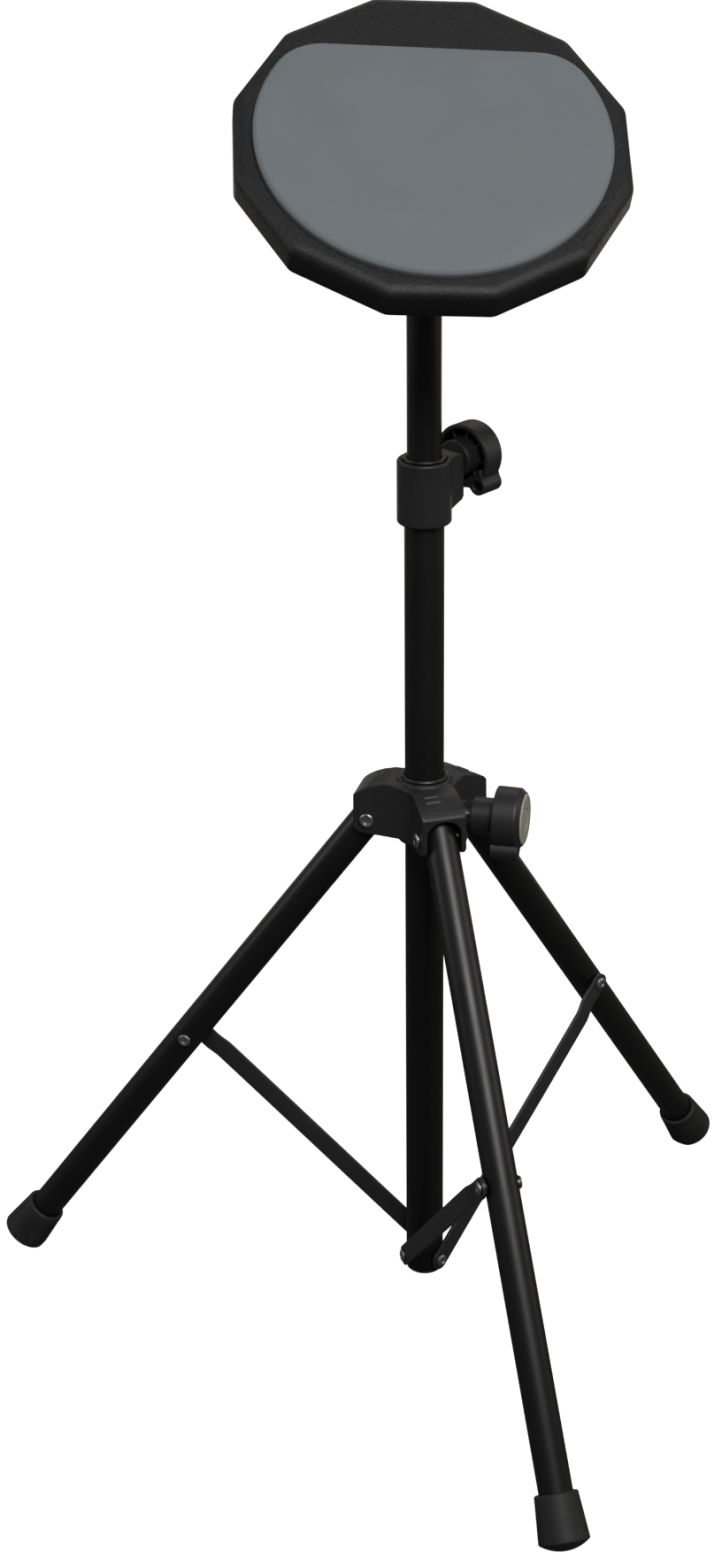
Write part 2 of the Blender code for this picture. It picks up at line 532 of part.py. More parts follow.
def build_tilter():
    upright = azimuth_frame("tilt_axis", TILT_AZIMUTH, STAND, TILT_PIVOT_Z)
    socket = MAST_RADIUS + GAP
    socket_bottom = 632 * MM - TILT_PIVOT_Z
    socket_top = MAST_TOP + 4 * MM - TILT_PIVOT_Z
    mast_end = MAST_TOP + GAP - TILT_PIVOT_Z
    profile = [(0, socket_top), (11 * MM, socket_top), (12.5 * MM, socket_top - 1.5 * MM),
               (12.5 * MM, socket_bottom), (socket, socket_bottom), (socket, mast_end), (0, mast_end)]
    base = turned("tilter_base", profile, PLASTIC, upright)
    outline = arc((0, 0), EAR_RADIUS, 0, 180, 12) + [(-EAR_RADIUS, socket_top - 2 * MM),
                                                      (EAR_RADIUS, socket_top - 2 * MM)]
    join(base, plate("tilter_tongue", outline, 2 * TONGUE_HALF_WIDTH, None, upright, turn=UPRIGHT))
    drill(base, "tongue_hole", STUD_RADIUS + GAP, -20 * MM, 20 * MM, upright, turn=ALONG_Y)

    tilted = empty("tilt_frame", upright, turn=(0, TILT, 0))
    profile = [(0, PLATFORM_TOP), (PLATFORM_RADIUS - MM, PLATFORM_TOP), (PLATFORM_RADIUS, PLATFORM_TOP - MM),
               (PLATFORM_RADIUS, PLATFORM_BOTTOM), (0, PLATFORM_BOTTOM)]
    head = turned("tilter_head", profile, PLASTIC, tilted)
    outline = arc((0, 0), EAR_RADIUS, 180, 360, 12) + [(EAR_RADIUS, PLATFORM_BOTTOM + 2.5 * MM),
                                                        (-EAR_RADIUS, PLATFORM_BOTTOM + 2.5 * MM)]
    for side, name in ((1, "near"), (-1, "far")):
        middle = (0, side * (EAR_INNER + EAR_OUTER) / 2, 0)
        join(head, plate("tilter_ear_" + name, outline, EAR_OUTER - EAR_INNER, None, tilted, middle, UPRIGHT))
    drill(head, "ear_holes", STUD_RADIUS + GAP, -20 * MM, 20 * MM, tilted, turn=ALONG_Y)
    drill(head, "platform_hole", PAD_STUD_RADIUS + GAP, 20 * MM, 40 * MM, tilted)

    rod("pad_stud", PAD_STUD_RADIUS, 16.5 * MM, 47 * MM, STEEL, tilted)
    nut = plate("pad_lock_nut", hexagon(13 * MM), 5.6 * MM, STEEL, tilted, (0, 0, 20.8 * MM))
    drill(nut, "lock_nut_hole", PAD_STUD_RADIUS + GAP, 10 * MM, 30 * MM, tilted)
    pipe("pad_washer", PAD_STUD_RADIUS + GAP, 14 * MM, PLATFORM_TOP + GAP, 32 * MM, FOOT_RUBBER, tilted)

    outer = EAR_OUTER + GAP
    profile = [(0, outer + 3.6 * MM), (2.5 * MM, outer + 3.4 * MM), (5 * MM, outer + 2.2 * MM),
               (6.5 * MM, outer), (STUD_RADIUS, outer), (STUD_RADIUS, -22 * MM), (0, -22 * MM)]
    turned("tilter_bolt", profile, STEEL, tilted, turn=ALONG_Y)
    pipe("tilter_washer", STUD_RADIUS + GAP, 6.5 * MM, outer, outer + 1.2 * MM, STEEL, tilted, turn=UPRIGHT,
         segments=SMALL)
    wing_start = outer + 1.5 * MM
    nut = pipe("tilter_wing_nut", STUD_RADIUS + GAP, 5.5 * MM, wing_start, wing_start + 7 * MM, STEEL, tilted,
               turn=UPRIGHT, segments=SMALL)
    for side in (1, -1):
        outline = [(side * 4.6 * MM, wing_start + 1 * MM), (side * 9 * MM, wing_start + 3 * MM),
                   (side * 15 * MM, wing_start + 12 * MM)]
        outline += [(side * 12 * MM, wing_start + 14 * MM), (side * 4.6 * MM, wing_start + 6.4 * MM)]
        if side < 0:
            outline.reverse()
        join(nut, plate("wing_right" if side > 0 else "wing_left", outline, 2.4 * MM, None, tilted,
                        turn=(180 * DEG, 0, 0)))
    return tilted


# ---------------------------------------------------------------- practice pad

def rubber_outline():
    """Round playing surface with one straight edge, and a fillet where the two meet."""
    centre_y = RUBBER_CHORD - RUBBER_FILLET
    centre_x = math.sqrt((RUBBER_RADIUS - RUBBER_FILLET) ** 2 - centre_y ** 2)
    meet = math.degrees(math.atan2(centre_y, centre_x))
    outline = arc((centre_x, centre_y), RUBBER_FILLET, 90, meet, 4)
    outline += arc((0, 0), RUBBER_RADIUS, meet, -180 - meet, 36)[1:]
    outline += arc((-centre_x, centre_y), RUBBER_FILLET, 180 - meet, 90, 4)[1:]
    outline.reverse()
    return outline


def build_pad(tilted):
    frame = empty("pad_frame", tilted, turn=(0, 0, 90 * DEG - PAD_SPIN))
    mesh = bpy.data.meshes.new("pad_base")
    work = bmesh.new()
    circumradius = PAD_ACROSS_FLATS / 2 / math.cos(math.pi / PAD_SIDES)
    bmesh.ops.create_cone(work, cap_ends=True, segments=PAD_SIDES, radius1=circumradius, radius2=circumradius,
                          depth=PAD_TOP - PAD_UNDERSIDE)
    half_side = math.pi / PAD_SIDES
    middle = Vector((0, 0, (PAD_TOP + PAD_UNDERSIDE) / 2))
    bmesh.ops.transform(work, verts=work.verts, matrix=Matrix.Translation(middle) @ Matrix.Rotation(half_side, 4, "Z"))
    for height, width, steps in ((PAD_TOP, 5.5 * MM, 4), (PAD_UNDERSIDE, 1.5 * MM, 1)):
        rim = [edge for edge in work.edges if all(abs(vert.co.z - height) < 0.1 * MM for vert in edge.verts)]
        bmesh.ops.bevel(work, geom=rim, offset=width, segments=steps, profile=0.5, affect="EDGES")
    work.to_mesh(mesh)
    work.free()
    base = place_mesh("pad_base", mesh, PAD_SHELL, frame)
    drill(base, "insert_bore", 8 * MM + GAP, PAD_UNDERSIDE - 10 * MM, PAD_UNDERSIDE + 13.6 * MM, frame)
    plate("pad_rubber", rubber_outline(), RUBBER_TOP - PAD_TOP - GAP, PAD_RUBBER, frame,
          (0, 0, (RUBBER_TOP + PAD_TOP + GAP) / 2))

    flange_top = PAD_UNDERSIDE - GAP
    flange_bottom = flange_top - 3 * MM
    thread = PAD_STUD_RADIUS + GAP
    profile = [(thread, PAD_UNDERSIDE + 13 * MM), (8 * MM, PAD_UNDERSIDE + 13 * MM), (8 * MM, flange_top),
               (25 * MM, flange_top), (25 * MM, flange_bottom), (thread, flange_bottom)]
    insert = turned("pad_insert", profile, STEEL, frame, ring=True)
    for index in range(3):
        place = (19.5 * MM * math.cos(index * 120 * DEG), 19.5 * MM * math.sin(index * 120 * DEG), 0)
        number = str(index + 1)
        drill(insert, "insert_screw_hole_" + number, 1.8 * MM, 20 * MM, 40 * MM, frame, place)
        drill(base, "pad_screw_hole_" + number, 1.8 * MM, 20 * MM, PAD_UNDERSIDE + 9.4 * MM, frame, place)
        head = flange_bottom - GAP
        profile = [(0, PAD_UNDERSIDE + 9 * MM), (1.5 * MM, PAD_UNDERSIDE + 9 * MM), (1.5 * MM, head),
                   (3 * MM, head), (2.6 * MM, head - 1.2 * MM), (1.2 * MM, head - 1.6 * MM), (0, head - 1.6 * MM)]
        turned("insert_screw_" + number, profile, STEEL, frame, place, segments=SMALL)


# ---------------------------------------------------------------- assembly

def weld_cut_edges():
    """Merges the slivers that cuts leave where two edges almost meet."""
    for obj in PARTS.objects:
        if any(modifier.type == "BOOLEAN" for modifier in obj.modifiers):
            weld = obj.modifiers.new("weld", "WELD")
            weld.merge_threshold = 0.00002


def centre_on_floor():
    """Moves the stand sideways so that its footprint's middle is the origin."""
    graph = bpy.context.evaluated_depsgraph_get()
    corners = []
    for obj in PARTS.objects:
        evaluated = obj.evaluated_get(graph)
        corners += [evaluated.matrix_world @ Vector(vert.co) for vert in evaluated.data.vertices]
    for axis in (0, 1):
        STAND.location[axis] = -(min(c[axis] for c in corners) + max(c[axis] for c in corners)) / 2


build_column()
build_collar()
build_mast()
build_hub()
build_legs()
build_pad(build_tilter())
weld_cut_edges()
centre_on_floor()
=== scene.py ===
"""Looks of the practice pad and its folding tripod stand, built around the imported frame.

Lengths are metres. Each piece is made in the frame of its own joint or of the column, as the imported
record gives it.
"""

import json
import math

import bmesh
import bpy
from mathutils import Matrix, Vector


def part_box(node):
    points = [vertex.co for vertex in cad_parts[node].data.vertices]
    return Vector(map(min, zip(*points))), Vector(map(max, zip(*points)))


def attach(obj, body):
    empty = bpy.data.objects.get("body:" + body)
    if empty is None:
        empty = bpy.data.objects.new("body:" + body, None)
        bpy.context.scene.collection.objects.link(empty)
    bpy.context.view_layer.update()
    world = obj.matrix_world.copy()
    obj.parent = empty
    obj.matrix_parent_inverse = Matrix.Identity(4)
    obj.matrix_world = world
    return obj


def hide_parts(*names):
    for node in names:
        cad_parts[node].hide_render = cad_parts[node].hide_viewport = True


MM = 0.001
DEG = math.pi / 180

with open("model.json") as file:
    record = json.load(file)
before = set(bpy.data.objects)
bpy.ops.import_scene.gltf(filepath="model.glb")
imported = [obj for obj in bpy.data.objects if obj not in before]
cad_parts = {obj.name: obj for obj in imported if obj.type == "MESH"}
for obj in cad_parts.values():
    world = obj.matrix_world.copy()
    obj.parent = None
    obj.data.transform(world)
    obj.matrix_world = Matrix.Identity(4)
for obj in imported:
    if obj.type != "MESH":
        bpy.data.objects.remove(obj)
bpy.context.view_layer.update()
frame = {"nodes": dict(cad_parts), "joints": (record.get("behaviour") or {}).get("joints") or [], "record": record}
RECORD = frame["record"]
JOINTS = {joint["name"]: joint for joint in frame["joints"]}
BODY_OF = {node: body for body, nodes in RECORD["behaviour"]["bodies"].items() for node in nodes}
SLOT_OF = {part["node"]: part["material_slot"] for part in RECORD["subparts"]}
LEGS = ("front", "right", "left")
UP = Vector((0, 0, 1))
WELD = 1e-7                        # vertices closer than this are one

# Camera, placed from the foot of the column
CAMERA_DISTANCE = 1.5539
CAMERA_HEIGHT = 1.03145
CAMERA_PITCH = 23.905 * DEG
CAMERA_YAW = -1.413 * DEG
CAMERA_ROLL = -0.606 * DEG
CAMERA_LENS = 68.66

ROOM_GLOW = 0.1
WARM = (1.0, 0.95, 0.84)
PAPER_BOUNCE = (0.07, 0.07, 0.068)

# Tubes
COLUMN_RADIUS = 11.1 * MM
SLIM_RADIUS = 9.525 * MM           # mast and legs
TUBE_WALL = 1.2 * MM
SLIM_SOCKET = 9.85 * MM            # bore of what slides or sits on a slim tube

# Legs
LEG_TOP = 7 * MM
LEG_LENGTH = 385 * MM
FOOT_RIM = 363.5 * MM
FOOT_EDGE = 389.5 * MM
FOOT_RIM_RADIUS = 12.25 * MM
FOOT_EDGE_RADIUS = 14.25 * MM
FOOT_DOME_RADIUS = 22.8 * MM
CHEEK = 13.3 * MM                  # outside of the hub's cheeks, from the leg's plane

# Struts
STRUT_PIN_HEIGHT = 30 * MM
STRUT_RADIUS = 6 * MM
STRUT_HALF = 1 * MM
STRUT_LOW_OFFSET = 12.6 * MM       # from the leg's plane, at the column
STRUT_BEND_OFFSET = 13.4 * MM      # at the start of the joggle
STRUT_TOP_OFFSET = 11.6 * MM       # at the leg
RIVET_RADIUS = 4 * MM
RIVET_SHANK = 2.5 * MM

# Hub and collar
HUB_RADIUS = 15.4 * MM
HUB_TOP = 347.5 * MM
HUB_BOTTOM = 309.5 * MM
HUB_BORE = 12.9 * MM
LOBE_REACH = 39 * MM
LOBE_HALF_WIDTH = 13 * MM
LOBE_TOP = 23.6 * MM               # from the leg's pivot
LOBE_BOTTOM = -8 * MM
WEB_RADIUS = 20 * MM               # hollow between two lobes
ARCH_RADIUS = 9.9 * MM
ARCH_CENTRE = 4.5 * MM
ARCH_HEIGHT = 8.2 * MM             # of its elliptical top
ARCH_INNER_END = 17.3 * MM
COLLAR_RADIUS = 15.1 * MM
COLLAR_BORE = 11.4 * MM
COLLAR_BOTTOM = 499.5 * MM
COLLAR_TOP = 535.5 * MM
BOSS_REACH = 24.2 * MM
BOSS_WIDTH = 16.4 * MM
BOSS_DROP = 20.5 * MM
BUSH_BORE = 11.4 * MM              # of the hub's bush, around the column

# Knobs
KNOB_RADIUS = 17.5 * MM
KNOB_DEPTH = 16.7 * MM
KNOB_WALL = 2.2 * MM
NECK_RADIUS = 10.5 * MM
LUG_OFFSET = 18.9 * MM
LUG_RADIUS = 5.3 * MM
CAP_RADIUS = 14.7 * MM
CAP_RECESS = 1.3 * MM
KNOB_WEB = 7 * MM                  # solid part behind the knob's face
KNOB_RIBS = 8
STUD_RADIUS = 3 * MM
STUD_BORE = 3.3 * MM               # of the knob, around its stud
STUD_HOLE = 4.8 * MM               # of the collar and the hub
STUD_END = 4.5 * MM                # behind the knob's face

# Tilter and pad, along the pad's own axis from the tilt pivot
BOLT_HOLE = 3.3 * MM               # of the hub's hinges too
EAR_RADIUS = 11 * MM
EAR_HALF = 1.95 * MM
EAR_OFFSET = 9.05 * MM
BOLT_SEAT = 11.3 * MM
PAD_STUD_RADIUS = 4 * MM
PAD_STUD_HOLE = 4.3 * MM
PLATFORM_TOP = 29 * MM
PAD_UNDERSIDE = 36 * MM
PAD_TOP = 54 * MM
PAD_APOTHEM = 101.6 * MM
PAD_SIDES = 12
PAD_SPIN = 4.85 * DEG
RUBBER_TOP = 59 * MM
RUBBER_RADIUS = 92.3 * MM
RUBBER_CHORD = 60.75 * MM
RUBBER_FILLET = 28 * MM
RUBBER_TURN = -1.2 * DEG           # glued on a little askew


# ---------------------------------------------------------------- frames

def axes_at(origin, x, y, z):
    """A frame from its origin and its three axes."""
    rows = [(x[i], y[i], z[i], origin[i]) for i in range(3)]
    return Matrix(rows + [(0, 0, 0, 1)])


def joint_place(name):
    return Vector(JOINTS[name]["pos_m"]), Vector(JOINTS[name]["axis"]).normalized()


MAST_AT = joint_place("mast_swivel")[0]
COLUMN = Matrix.Translation((MAST_AT.x, MAST_AT.y, 0))


def outward_frame(joint):
    """Frame of a clamp knob: Z outward along its stud, X straight down."""
    place, outward = joint_place(joint)
    return axes_at(place, -UP, outward.cross(-UP), outward)


def lobe_frame(leg):
    """Frame at a leg's pivot: X outward, Y along the pivot, Z up."""
    place, pivot = joint_place(f"leg_{leg}_fold")
    return axes_at(place, pivot.cross(UP), pivot, UP)


def leg_frame(leg):
    """Frame of a leg: Y along its pivot, Z up the leg."""
    place, pivot = joint_place(f"leg_{leg}_fold")
    along = (place - joint_place(f"strut_{leg}_fold")[0]).normalized()
    return axes_at(place, pivot.cross(along), pivot, along)


def strut_frame(leg):
    """Frame of a strut at its pin on the leg: Z away from the column, and the strut's length."""
    place, pivot = joint_place(f"strut_{leg}_fold")
    reach = place - Vector((MAST_AT.x, MAST_AT.y, STRUT_PIN_HEIGHT))
    along = reach.normalized()
    return axes_at(place, pivot.cross(along), pivot, along), reach.length


def tilt_frames():
    """Upright frame at the tilt pivot, and the tilted frame that the pad's platform has."""
    place, pivot = joint_place("pad_tilt")
    normal = joint_place("pad_turn")[1]
    return axes_at(place, pivot.cross(UP), pivot, UP), axes_at(place, pivot.cross(normal), pivot, normal)


SIDEWAYS = Matrix.Rotation(-90 * DEG, 4, "X")      # turns Z onto +Y
SIDEWAYS_BACK = Matrix.Rotation(90 * DEG, 4, "X")  # turns Z onto -Y, and stands an XY outline up


# ---------------------------------------------------------------- shapes

def piece(name, mesh_work, place, sharp=38):
    """Makes an object from finished mesh work, with its place in its vertices."""
    bmesh.ops.recalc_face_normals(mesh_work, faces=mesh_work.faces)
    mesh_work.transform(place)
    mesh = bpy.data.meshes.new(name)
    mesh_work.to_mesh(mesh)
    mesh_work.free()
    mesh.shade_smooth()
    if sharp:
        mesh.set_sharp_from_angle(angle=sharp * DEG)
    obj = bpy.data.objects.new(name, mesh)
    bpy.context.scene.collection.objects.link(obj)
    return obj


def arc(centre, radius, start, end, steps):
    """Points on an arc, angles in degrees, both ends included."""
    turns = [(start + (end - start) * i / steps) * DEG for i in range(steps + 1)]
    return [(centre[0] + radius * math.cos(a), centre[1] + radius * math.sin(a)) for a in turns]


def rounded(points, radius, steps=3, closed=False):
    """Rounds a polyline's corners."""
    out = []
    for i, point in enumerate(points):
        if not closed and i in (0, len(points) - 1):
            out.append(tuple(point))
            continue
        here = Vector(point)
        back = Vector(points[i - 1]) - here
        ahead = Vector(points[(i + 1) % len(points)]) - here
        bend = back.angle(ahead)
        if bend > 160 * DEG:
            out.append(tuple(point))
            continue
        reach = min(radius / math.tan(bend / 2), 0.45 * back.length, 0.45 * ahead.length)
        start = here + back.normalized() * reach
        end = here + ahead.normalized() * reach
        for step in range(steps + 1):
            t = step / steps
            out.append(tuple(start * (1 - t) ** 2 + here * 2 * t * (1 - t) + end * t * t))
    return out


def bridge(work, rows, ring_closed, rows_closed=False):
    """Faces between neighbouring rows of vertices."""
    count = len(rows[0])
    for i in range(len(rows) if rows_closed else len(rows) - 1):
        here, there = rows[i], rows[(i + 1) % len(rows)]
        for k in range(count if ring_closed else count - 1):
            m = (k + 1) % count
            work.faces.new((here[k], here[m], there[m], there[k]))


def lathe(name, profile, place, ring=False, sides=96, soften=0.4 * MM):
    """Turns a profile of (radius, z) about Z; a ring's profile closes on itself."""
    points = rounded(profile, soften, closed=ring)
    work = bmesh.new()
    rows = []
    for side in range(sides):
        angle = 2 * math.pi * side / sides
        cosine, sine = math.cos(angle), math.sin(angle)
        rows.append([work.verts.new((r * cosine, r * sine, z)) for r, z in points])
    bridge(work, rows, ring_closed=ring, rows_closed=True)
    bmesh.ops.remove_doubles(work, verts=work.verts, dist=WELD)
    return piece(name, work, place)


def pipe(name, inner, outer, bottom, top, place, **settings):
    profile = [(inner, top), (outer, top), (outer, bottom), (inner, bottom)]
    return lathe(name, profile, place, ring=True, **settings)


def rod(name, radius, bottom, top, place, **settings):
    return lathe(name, [(0, top), (radius, top), (radius, bottom), (0, bottom)], place, **settings)


def bolt_hole(place, sides=40):
    """Cutter for a hinge bolt's hole, along Y."""
    reach = 20 * MM
    return rod("bolt_hole", BOLT_HOLE, -reach, reach, place @ SIDEWAYS, soften=0, sides=sides)


def stud_hole(clamp):
    """Cutter for the hole that a clamp knob's stud goes through."""
    return rod("stud_hole", STUD_HOLE, 8 * MM, 40 * MM, clamp, soften=0, sides=48)


def slab(name, outline, thickness, place, soften=0.5 * MM):
    """Extrudes an outline both ways from the XY plane and rounds both rims."""
    work = bmesh.new()
    rows = [[work.verts.new((x, y, z)) for x, y in outline] for z in (-thickness / 2, thickness / 2)]
    bridge(work, rows, ring_closed=True)
    for row in rows:
        work.faces.new(row)
    if soften:
        rims = [edge for edge in work.edges if abs(edge.verts[0].co.z - edge.verts[1].co.z) < WELD]
        bmesh.ops.bevel(work, geom=rims, offset=soften, segments=2, profile=0.5, affect="EDGES",
                        clamp_overlap=True)
    return piece(name, work, place)


def lofted(name, rings, place, sharp=38):
    """Skins closed rings of equal count and caps both ends."""
    work = bmesh.new()
    rows = [[work.verts.new(point) for point in ring] for ring in rings]
    bridge(work, rows, ring_closed=True)
    work.faces.new(rows[0])
    work.faces.new(rows[-1])
    return piece(name, work, place, sharp)


def moulded(name, solids, cuts=(), grain=0.45 * MM, smoothing=5):
    """Joins solids and cuts holes in them, then melts the result into one moulding with soft edges."""
    obj, *others = solids
    obj.name = name
    for operation, helpers in (("UNION", others), ("DIFFERENCE", cuts)):
        for helper in helpers:
            step = obj.modifiers.new(operation.lower(), "BOOLEAN")
            step.operation = operation
            step.object = helper
            step.solver = "MANIFOLD"
    melt = obj.modifiers.new("melt", "REMESH")
    melt.mode = "VOXEL"
    melt.voxel_size = grain
    melt.use_smooth_shade = True
    soften = obj.modifiers.new("soften", "SMOOTH")
    soften.factor = 0.5
    soften.iterations = smoothing
    evaluated = obj.evaluated_get(bpy.context.evaluated_depsgraph_get())
    mesh = bpy.data.meshes.new_from_object(evaluated)
    obj.modifiers.clear()
    obj.data = mesh
    mesh.name = name
    for helper in others + list(cuts):
        bpy.data.objects.remove(helper)
    return obj


# ---------------------------------------------------------------- finishes

class Value:
    """A number that varies over a surface; Python arithmetic on it adds Math nodes."""

    def __init__(self, finish, socket):
        self.finish = finish
        self.socket = socket

    def math(self, operation, *values):
        return self.finish.node("ShaderNodeMath", {"operation": operation}, dict(enumerate(values)))

    def __add__(self, other):
        return self.math("ADD", self, other)

    def __sub__(self, other):
        return self.math("SUBTRACT", self, other)

    def __rsub__(self, other):
        return self.math("SUBTRACT", other, self)

    def __mul__(self, other):
        return self.math("MULTIPLY", self, other)

    __radd__ = __add__
    __rmul__ = __mul__


class Nodes:
    """Adds nodes to a tree, with their settings and inputs in one call."""

    def __init__(self, tree):
        self.tree = tree

    def feed(self, socket, value):
        if isinstance(value, Value):
            self.tree.links.new(value.socket, socket)
        elif isinstance(value, tuple) and len(value) == 3 and socket.type == "RGBA":
            socket.default_value = (*value, 1)
        else:
            socket.default_value = value

    def node(self, kind, settings, inputs, output=0):
        made = self.tree.nodes.new(kind)
        for key, value in settings.items():
            if key == "stops":
                for element, (position, shade) in zip(made.color_ramp.elements, value):
                    element.position = position
                    element.color = (shade, shade, shade, 1)
            else:
                setattr(made, key, value)
        for key, value in inputs.items():
            self.feed(made.inputs[key], value)
        return Value(self, made.outputs[output])


class Finish(Nodes):
    """A Principled material whose varying inputs are built from nodes."""

    def __init__(self, name, colour, roughness, metallic=0.0, **constants):
        self.material = bpy.data.materials.new(name)
        self.material.use_nodes = True
        super().__init__(self.material.node_tree)
        self.shader = self.tree.nodes["Principled BSDF"]
        self.set("Base Color", colour)
        self.set("Roughness", roughness)
        self.set("Metallic", metallic)
        for key, value in constants.items():
            self.set(key.replace("_", " "), value)
        self.coordinates = None

    def set(self, name, value):
        self.feed(self.shader.inputs[name], value)

    def where(self):
        if self.coordinates is None:
            self.coordinates = self.node("ShaderNodeTexCoord", {}, {}, "Object")
        return self.coordinates

    def noise(self, per_metre, detail=2.0, roughness=0.5):
        inputs = {"Vector": self.where(), "Scale": per_metre, "Detail": detail, "Roughness": roughness}
        return self.node("ShaderNodeTexNoise", {}, inputs)

    def ramp(self, value, low, high):
        """0 below low, 1 above high."""
        return self.node("ShaderNodeValToRGB", {"stops": ((low, 0), (high, 1))}, {"Fac": value})

    def mix(self, amount, first, second):
        node_inputs = {0: amount, 6: first, 7: second}
        return self.node("ShaderNodeMix", {"data_type": "RGBA"}, node_inputs, 2)

    def bump(self, height, depth, strength=1.0):
        inputs = {"Height": height, "Distance": depth, "Strength": strength}
        self.set("Normal", self.node("ShaderNodeBump", {}, inputs))


def coated_steel():
    finish = Finish("powder_coated_steel", (0.005, 0.005, 0.005), 0.4)
    peel = finish.noise(950, 2)
    cloud = finish.noise(45, 2)
    finish.set("Roughness", 0.36 + 0.08 * cloud + 0.04 * peel)
    finish.set("Base Color", finish.mix(cloud, (0.003, 0.003, 0.003), (0.006, 0.006, 0.006)))
    finish.bump(peel, 0.04 * MM, 0.7)
    return finish.material


def grained_plastic():
    finish = Finish("textured_black_plastic", (0.02, 0.02, 0.022), 0.5)
    grain = finish.noise(2400, 3, 0.6)
    cloud = finish.noise(110, 2)
    # Painted glints: the crests of the grain are painted lighter, and made a little glossier.
    painted_crest_glint = finish.ramp(grain, 0.56, 0.72)
    finish.set("Base Color", finish.mix(painted_crest_glint, (0.017, 0.0172, 0.019), (0.048, 0.048, 0.052)))
    finish.set("Roughness", 0.4 + 0.12 * cloud - 0.08 * painted_crest_glint)
    finish.bump(grain, 0.14 * MM, 0.6)
    return finish.material


def smooth_nylon():
    finish = Finish("black_nylon", (0.012, 0.012, 0.012), 0.4)
    finish.set("Roughness", 0.34 + 0.14 * finish.noise(160, 3))
    finish.bump(finish.noise(900, 1), 0.02 * MM, 0.4)
    return finish.material


def sole_rubber():
    finish = Finish("foot_rubber", (0.014, 0.014, 0.014), 0.75)
    scuff = finish.ramp(finish.noise(70, 5, 0.65), 0.5, 0.78)
    grain = finish.noise(1500, 3)
    finish.set("Base Color", finish.mix(scuff, (0.011, 0.011, 0.011), (0.026, 0.025, 0.024)))
    finish.set("Roughness", 0.62 + 0.2 * scuff)
    finish.bump(grain, 0.1 * MM, 0.45)
    return finish.material


def playing_rubber():
    finish = Finish("pad_rubber", (0.165, 0.182, 0.196), 0.75)
    cloud = finish.noise(28, 4, 0.6)
    speck = finish.noise(1400, 2)
    dust = finish.ramp(finish.noise(620, 4, 0.7), 0.62, 0.8)
    tone = finish.mix(cloud, (0.150, 0.167, 0.180), (0.182, 0.199, 0.213))
    finish.set("Base Color", finish.mix(0.35 * dust, tone, (0.27, 0.285, 0.295)))
    finish.set("Roughness", 0.68 + 0.14 * cloud)
    finish.bump(speck + 0.5 * cloud, 0.08 * MM, 0.5)
    return finish.material


def shell_with_painted_glints():
    finish = Finish("pad_base_shell", (0.007, 0.007, 0.008), 0.45)
    grain = finish.noise(1300, 3, 0.65)
    # Painted glints: scattered specks are painted much lighter than the dark shell, and made glossier.
    painted_sparkle = finish.ramp(finish.noise(2200, 1, 0.4), 0.6, 0.72)
    cloud = finish.noise(60, 3)
    dark = finish.mix(cloud, (0.004, 0.0042, 0.0045), (0.008, 0.0083, 0.009))
    finish.set("Base Color", finish.mix(painted_sparkle, dark, (0.05, 0.051, 0.055)))
    finish.set("Roughness", 0.46 - 0.16 * painted_sparkle)
    finish.bump(grain, 0.4 * MM, 0.9)
    return finish.material


def strut_coat():
    finish = Finish("black_strut_steel", (0.04, 0.04, 0.043), 0.36, 0.35)
    cloud = finish.noise(90, 3)
    peel = finish.noise(1300, 2)
    finish.set("Roughness", 0.3 + 0.14 * cloud)
    finish.set("Base Color", finish.mix(cloud, (0.035, 0.035, 0.037), (0.055, 0.055, 0.058)))
    finish.bump(peel, 0.03 * MM, 0.5)
    return finish.material


def bright_zinc():
    finish = Finish("zinc_steel", (0.4, 0.4, 0.41), 0.35, 1.0)
    smudge = finish.noise(260, 4)
    finish.set("Roughness", 0.28 + 0.25 * smudge)
    finish.set("Base Color", finish.mix(smudge, (0.3, 0.3, 0.31), (0.48, 0.48, 0.48)))
    finish.bump(finish.noise(2200, 2), 0.015 * MM, 0.4)
    return finish.material


def turned_brass():
    finish = Finish("brass", (0.6, 0.44, 0.2), 0.3, 1.0)
    tarnish = finish.noise(300, 4)
    finish.set("Base Color", finish.mix(tarnish, (0.5, 0.36, 0.15), (0.68, 0.52, 0.26)))
    finish.set("Roughness", 0.22 + 0.22 * tarnish)
    return finish.material


def cap_grey():
    finish = Finish("cap_grey", (0.38, 0.365, 0.30), 0.42)
    cloud = finish.noise(150, 3)
    finish.set("Base Color", finish.mix(cloud, (0.38, 0.365, 0.295), (0.47, 0.455, 0.375)))
    finish.set("Roughness", 0.36 + 0.16 * cloud)
    finish.bump(finish.noise(1800, 2), 0.03 * MM, 0.4)
    return finish.material


FINISHES = {
    "powder_coated_steel": coated_steel(),
    "textured_black_plastic": grained_plastic(),
    "black_nylon": smooth_nylon(),
    "foot_rubber": sole_rubber(),
    "pad_rubber": playing_rubber(),
    "pad_base_shell": shell_with_painted_glints(),
    "black_strut_steel": strut_coat(),
    "zinc_steel": bright_zinc(),
    "brass": turned_brass(),
    "cap_grey": cap_grey(),
}


def dress(obj, *nodes):
    """Gives a piece the finish and body of the CAD nodes that it stands for."""
    slot = SLOT_OF[nodes[0]]
    obj.data.materials.clear()
    obj.data.materials.append(FINISHES[slot])
    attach(obj, BODY_OF[nodes[0]])
    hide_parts(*nodes)
    return obj


# ---------------------------------------------------------------- pad

def many_sided(apothem, corner):
    """Outline of the pad's base with rounded corners."""
    radius = apothem / math.cos(math.pi / PAD_SIDES)
    step = 2 * math.pi / PAD_SIDES
    turns = [(i + 0.5) * step for i in range(PAD_SIDES)]
    points = [(radius * math.cos(a), radius * math.sin(a)) for a in turns]
    return rounded(points, corner, steps=6, closed=True)


